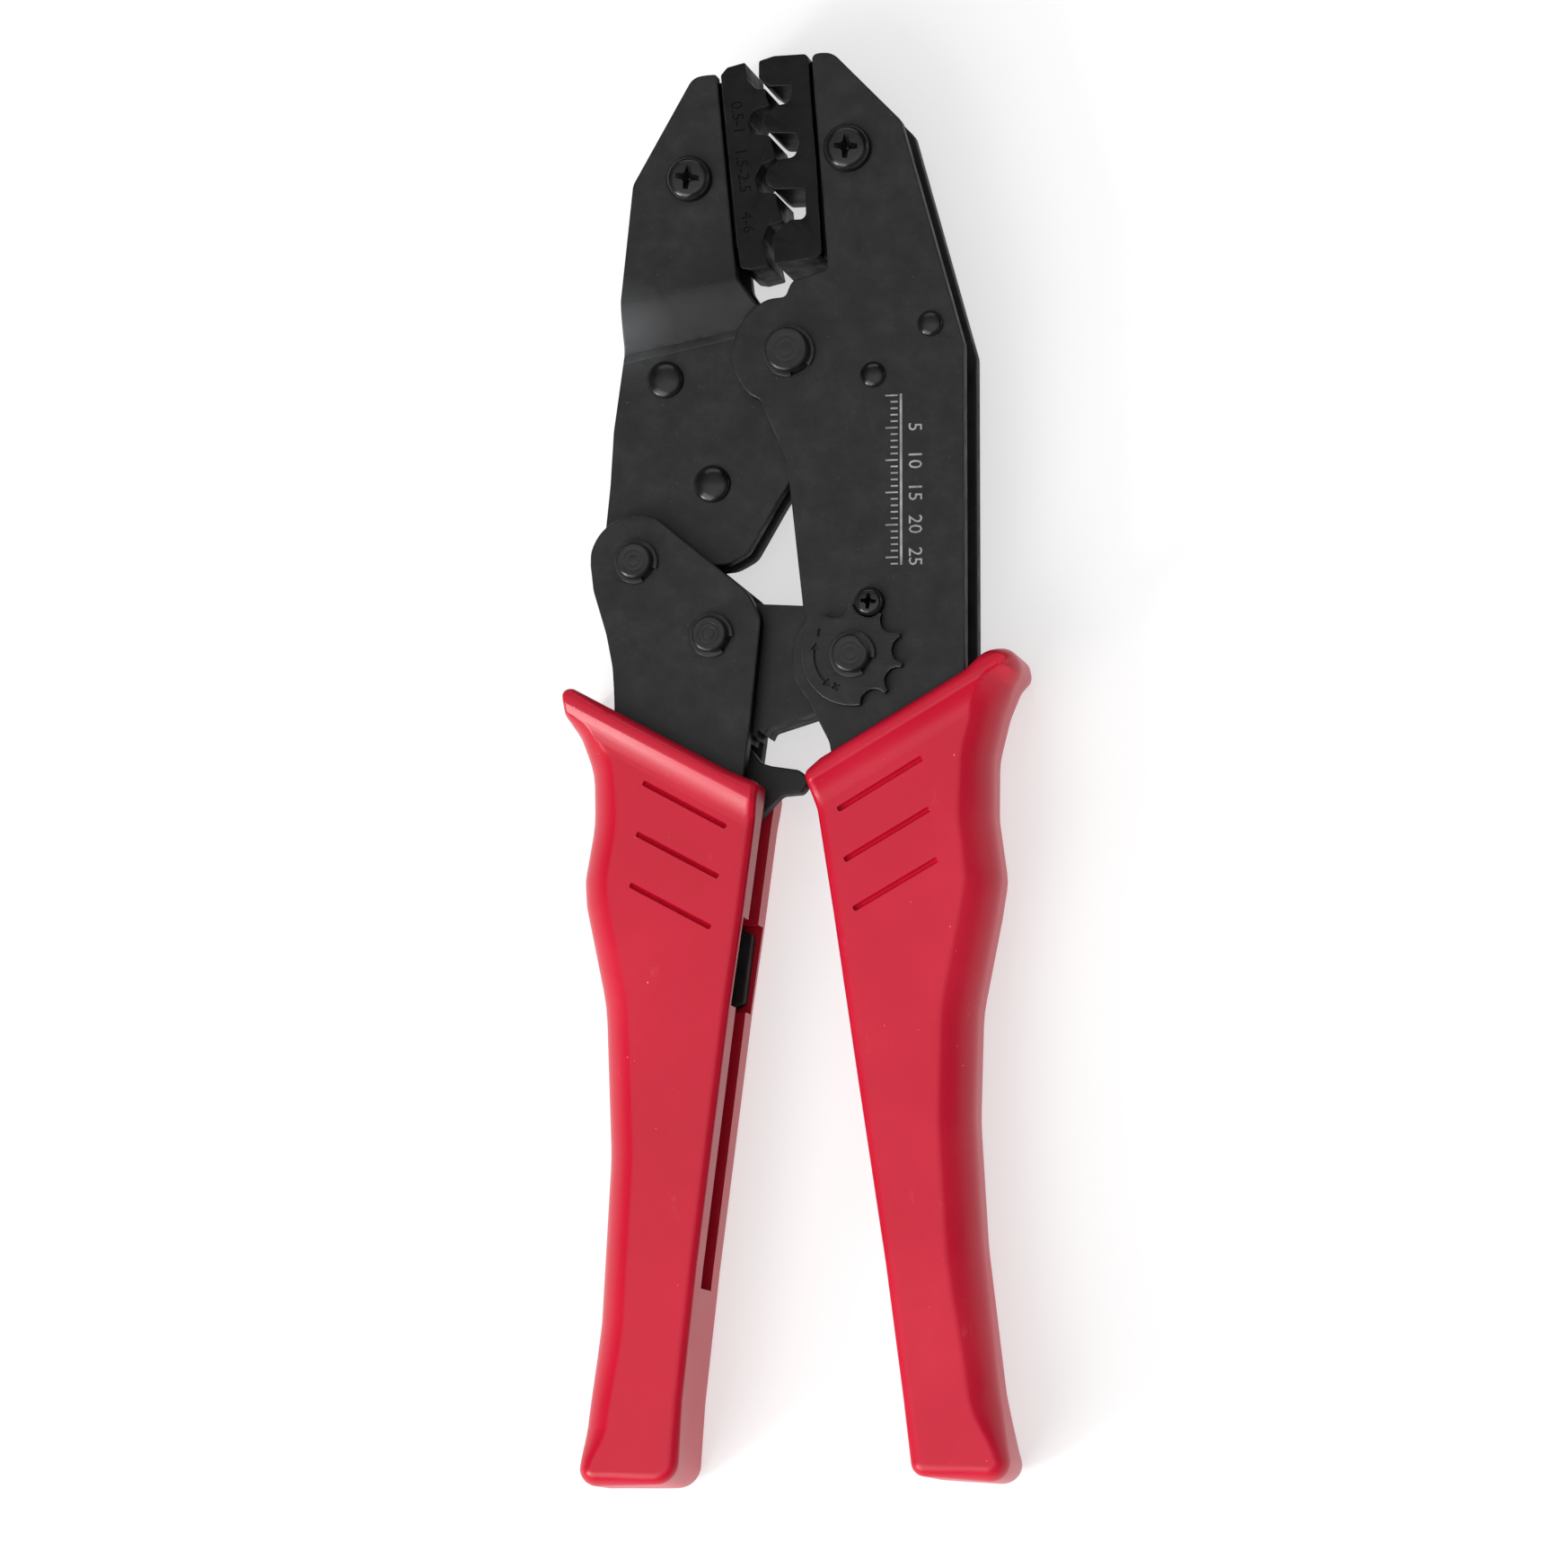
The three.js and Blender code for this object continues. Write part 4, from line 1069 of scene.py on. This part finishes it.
def coil(start, end, radius, wire, turns):
    """Close-wound extension spring as a swept mesh."""
    axis = (end - start).normalized()
    side = Vector((-axis.y, axis.x, 0))
    up = Vector((0, 0, 1))
    points = []
    steps = turns * COIL_STEPS
    for i in range(steps + 1):
        a = 2 * math.pi * turns * i / steps
        points.append(start.lerp(end, i / steps) + side * radius * math.sin(a) + up * radius * math.cos(a))
    curve = bpy.data.curves.new("coil", "CURVE")
    curve.dimensions = "3D"
    curve.bevel_depth = wire
    curve.bevel_resolution = 3
    curve.use_fill_caps = True
    spline = curve.splines.new("POLY")
    spline.points.add(len(points) - 1)
    for point, p in zip(spline.points, points):
        point.co = (*p, 1)
    obj = bpy.data.objects.new("coil", curve)
    SCENE.collection.objects.link(obj)
    return baked(obj)


add("pawl_spring_wound", coil(from_pivot(-13.9, -75.0), from_pivot(-19.6, -82.6), 1.5 * MM, 0.35 * MM, 7),
    WIRE, BODY_OF["pawl_spring"], ["pawl_spring"])


# ------------------------------------------------------------------ strip-length gauge printed on the frame
GAUGE_X, GAUGE_TOP, GAUGE_BASE = 17.4, -7.2, -33.6      # mm from the pivot
GAUGE_TICKS, GAUGE_NUMBERED = 27, 5
INK_LOW, INK_HIGH = 0.001 * MM, 0.02 * MM
NUMBER_SIZE = 3.0 * MM


def gauge():
    """A line with a tick to each millimetre and a number to every fifth."""
    meshes = []

    def patch(x0, x1, y0, y1):
        a, b = from_pivot(x0, y0).xy, from_pivot(x1, y1).xy
        corners = [a, Vector((b.x, a.y)), b, Vector((a.x, b.y))]
        meshes.append(prism(corners, FRONT + INK_LOW, FRONT + INK_HIGH))

    patch(GAUGE_X - 0.18, GAUGE_X + 0.18, GAUGE_BASE, GAUGE_TOP)
    first = GAUGE_TOP - 0.2
    for i in range(GAUGE_TICKS):
        y = first - i
        long = 1.9 if i % GAUGE_NUMBERED == 0 else 1.1
        patch(GAUGE_X - 0.5 - long, GAUGE_X - 0.5, y - 0.12, y + 0.12)
    for number in range(GAUGE_NUMBERED, GAUGE_TICKS, GAUGE_NUMBERED):
        at = Vector((*from_pivot(GAUGE_X + 2.1, first - number).xy, FRONT + 0.011 * MM))
        meshes.append(engraved(str(number), at, NUMBER_SIZE, math.radians(-90), 0.01 * MM))
    add("strip_gauge_print", merged(meshes), INK, "fixed_handle")


gauge()


# ------------------------------------------------------------------ floor, light, camera
LIT_POINT = Vector((0, 0, 0.01))


def light(name, at, size, power):
    """A rectangular lamp in metres and watts, turned to the tool's middle."""
    data = bpy.data.lights.new(name, "AREA")
    data.shape = "RECTANGLE"
    data.size, data.size_y = size
    data.energy = power
    obj = bpy.data.objects.new(name, data)
    SCENE.collection.objects.link(obj)
    obj.location = at
    obj.rotation_euler = (LIT_POINT - Vector(at)).to_track_quat("-Z", "Y").to_euler()


FLOOR_REACH = 3
FLOOR_GAP = 0.0004              # keeps the floor from sharing a plane with the tool's back
floor_mesh = bpy.data.meshes.new("floor")
floor_corners = [(x * FLOOR_REACH, y * FLOOR_REACH, 0) for x, y in ((-1, -1), (1, -1), (1, 1), (-1, 1))]
floor_mesh.from_pydata(floor_corners, [], [(0, 1, 2, 3)])
floor = bpy.data.objects.new("floor", floor_mesh)
floor.location.z = -FLOOR_GAP
SCENE.collection.objects.link(floor)
floor_mat, _, floor_bsdf = shader("floor_paper", (0.45, 0.45, 0.45), 0.95, spec=0.1)
floor_bsdf.inputs["Emission Color"].default_value = (1, 1, 1, 1)
floor_bsdf.inputs["Emission Strength"].default_value = 0.60
floor_mesh.materials.append(floor_mat)
floor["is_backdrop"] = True

# The sky stands for a light tent: bright overhead and low down, dark between, dimmer beyond the jaws.
TENT_HEIGHT = [(0.0, 0.6), (0.11, 0.5), (0.2, 0.09), (0.78, 0.09), (0.93, 0.9), (1.0, 1.0)]
TENT_LENGTH = [(0.0, 1.0), (0.1, 0.92), (0.24, 0.48), (1.0, 0.4)]
world = bpy.data.worlds.new("tent")
world.use_nodes = True
tent = world.node_tree
split = tent.nodes.new("ShaderNodeSeparateXYZ")
tent.links.new(tent.nodes.new("ShaderNodeTexCoord").outputs["Generated"], split.inputs["Vector"])
height = ramp(tent, split.outputs["Z"], [(at, grey(v)) for at, v in TENT_HEIGHT])
length = ramp(tent, split.outputs["Y"], [(at, grey(v)) for at, v in TENT_LENGTH])
tent.links.new(mix(tent, 1.0, height, length, "MULTIPLY"), tent.nodes["Background"].inputs["Color"])
tent.nodes["Background"].inputs["Strength"].default_value = 1.66
SCENE.world = world
SCENE.view_settings.view_transform = "Standard"
# A broad lamp and a small key lean in from the lower left; two weak ones stand right and beyond the jaws.
light("broad", (-0.62, -0.80, 1.0), (0.9, 0.9), 12.6)
light("key", (-0.62, -0.50, 0.46), (0.14, 0.14), 3.0)
light("rim", (0.75, 0.25, 0.12), (0.2, 0.5), 0.3)
light("back", (-0.15, 0.95, 0.85), (0.8, 0.3), 2.0)

# The camera stands over the tool, a little to its right and towards the grips.
CAMERA_OFF = (0.2016, -0.1317)  # sideways lean for one unit of height
CAMERA_FAR = 1.1
VIEW_WIDTH = 0.239835           # metres across the picture at the tool
SENSOR = 36
AIM = from_pivot(-2.173, -65.843, 0.25)
towards = Vector((*CAMERA_OFF, 1)).normalized()
right = Vector((towards.z, 0, -towards.x)).normalized()
up = towards.cross(right)
cam_data = bpy.data.cameras.new("camera")
cam = bpy.data.objects.new("camera", cam_data)
SCENE.collection.objects.link(cam)
cam.matrix_world = Matrix((
    (right.x, up.x, towards.x, AIM.x + towards.x * CAMERA_FAR),
    (right.y, up.y, towards.y, AIM.y + towards.y * CAMERA_FAR),
    (right.z, up.z, towards.z, AIM.z + towards.z * CAMERA_FAR),
    (0, 0, 0, 1),
))
cam_data.sensor_width = SENSOR
cam_data.lens = SENSOR * CAMERA_FAR / VIEW_WIDTH
SCENE.camera = cam

low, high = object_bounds()
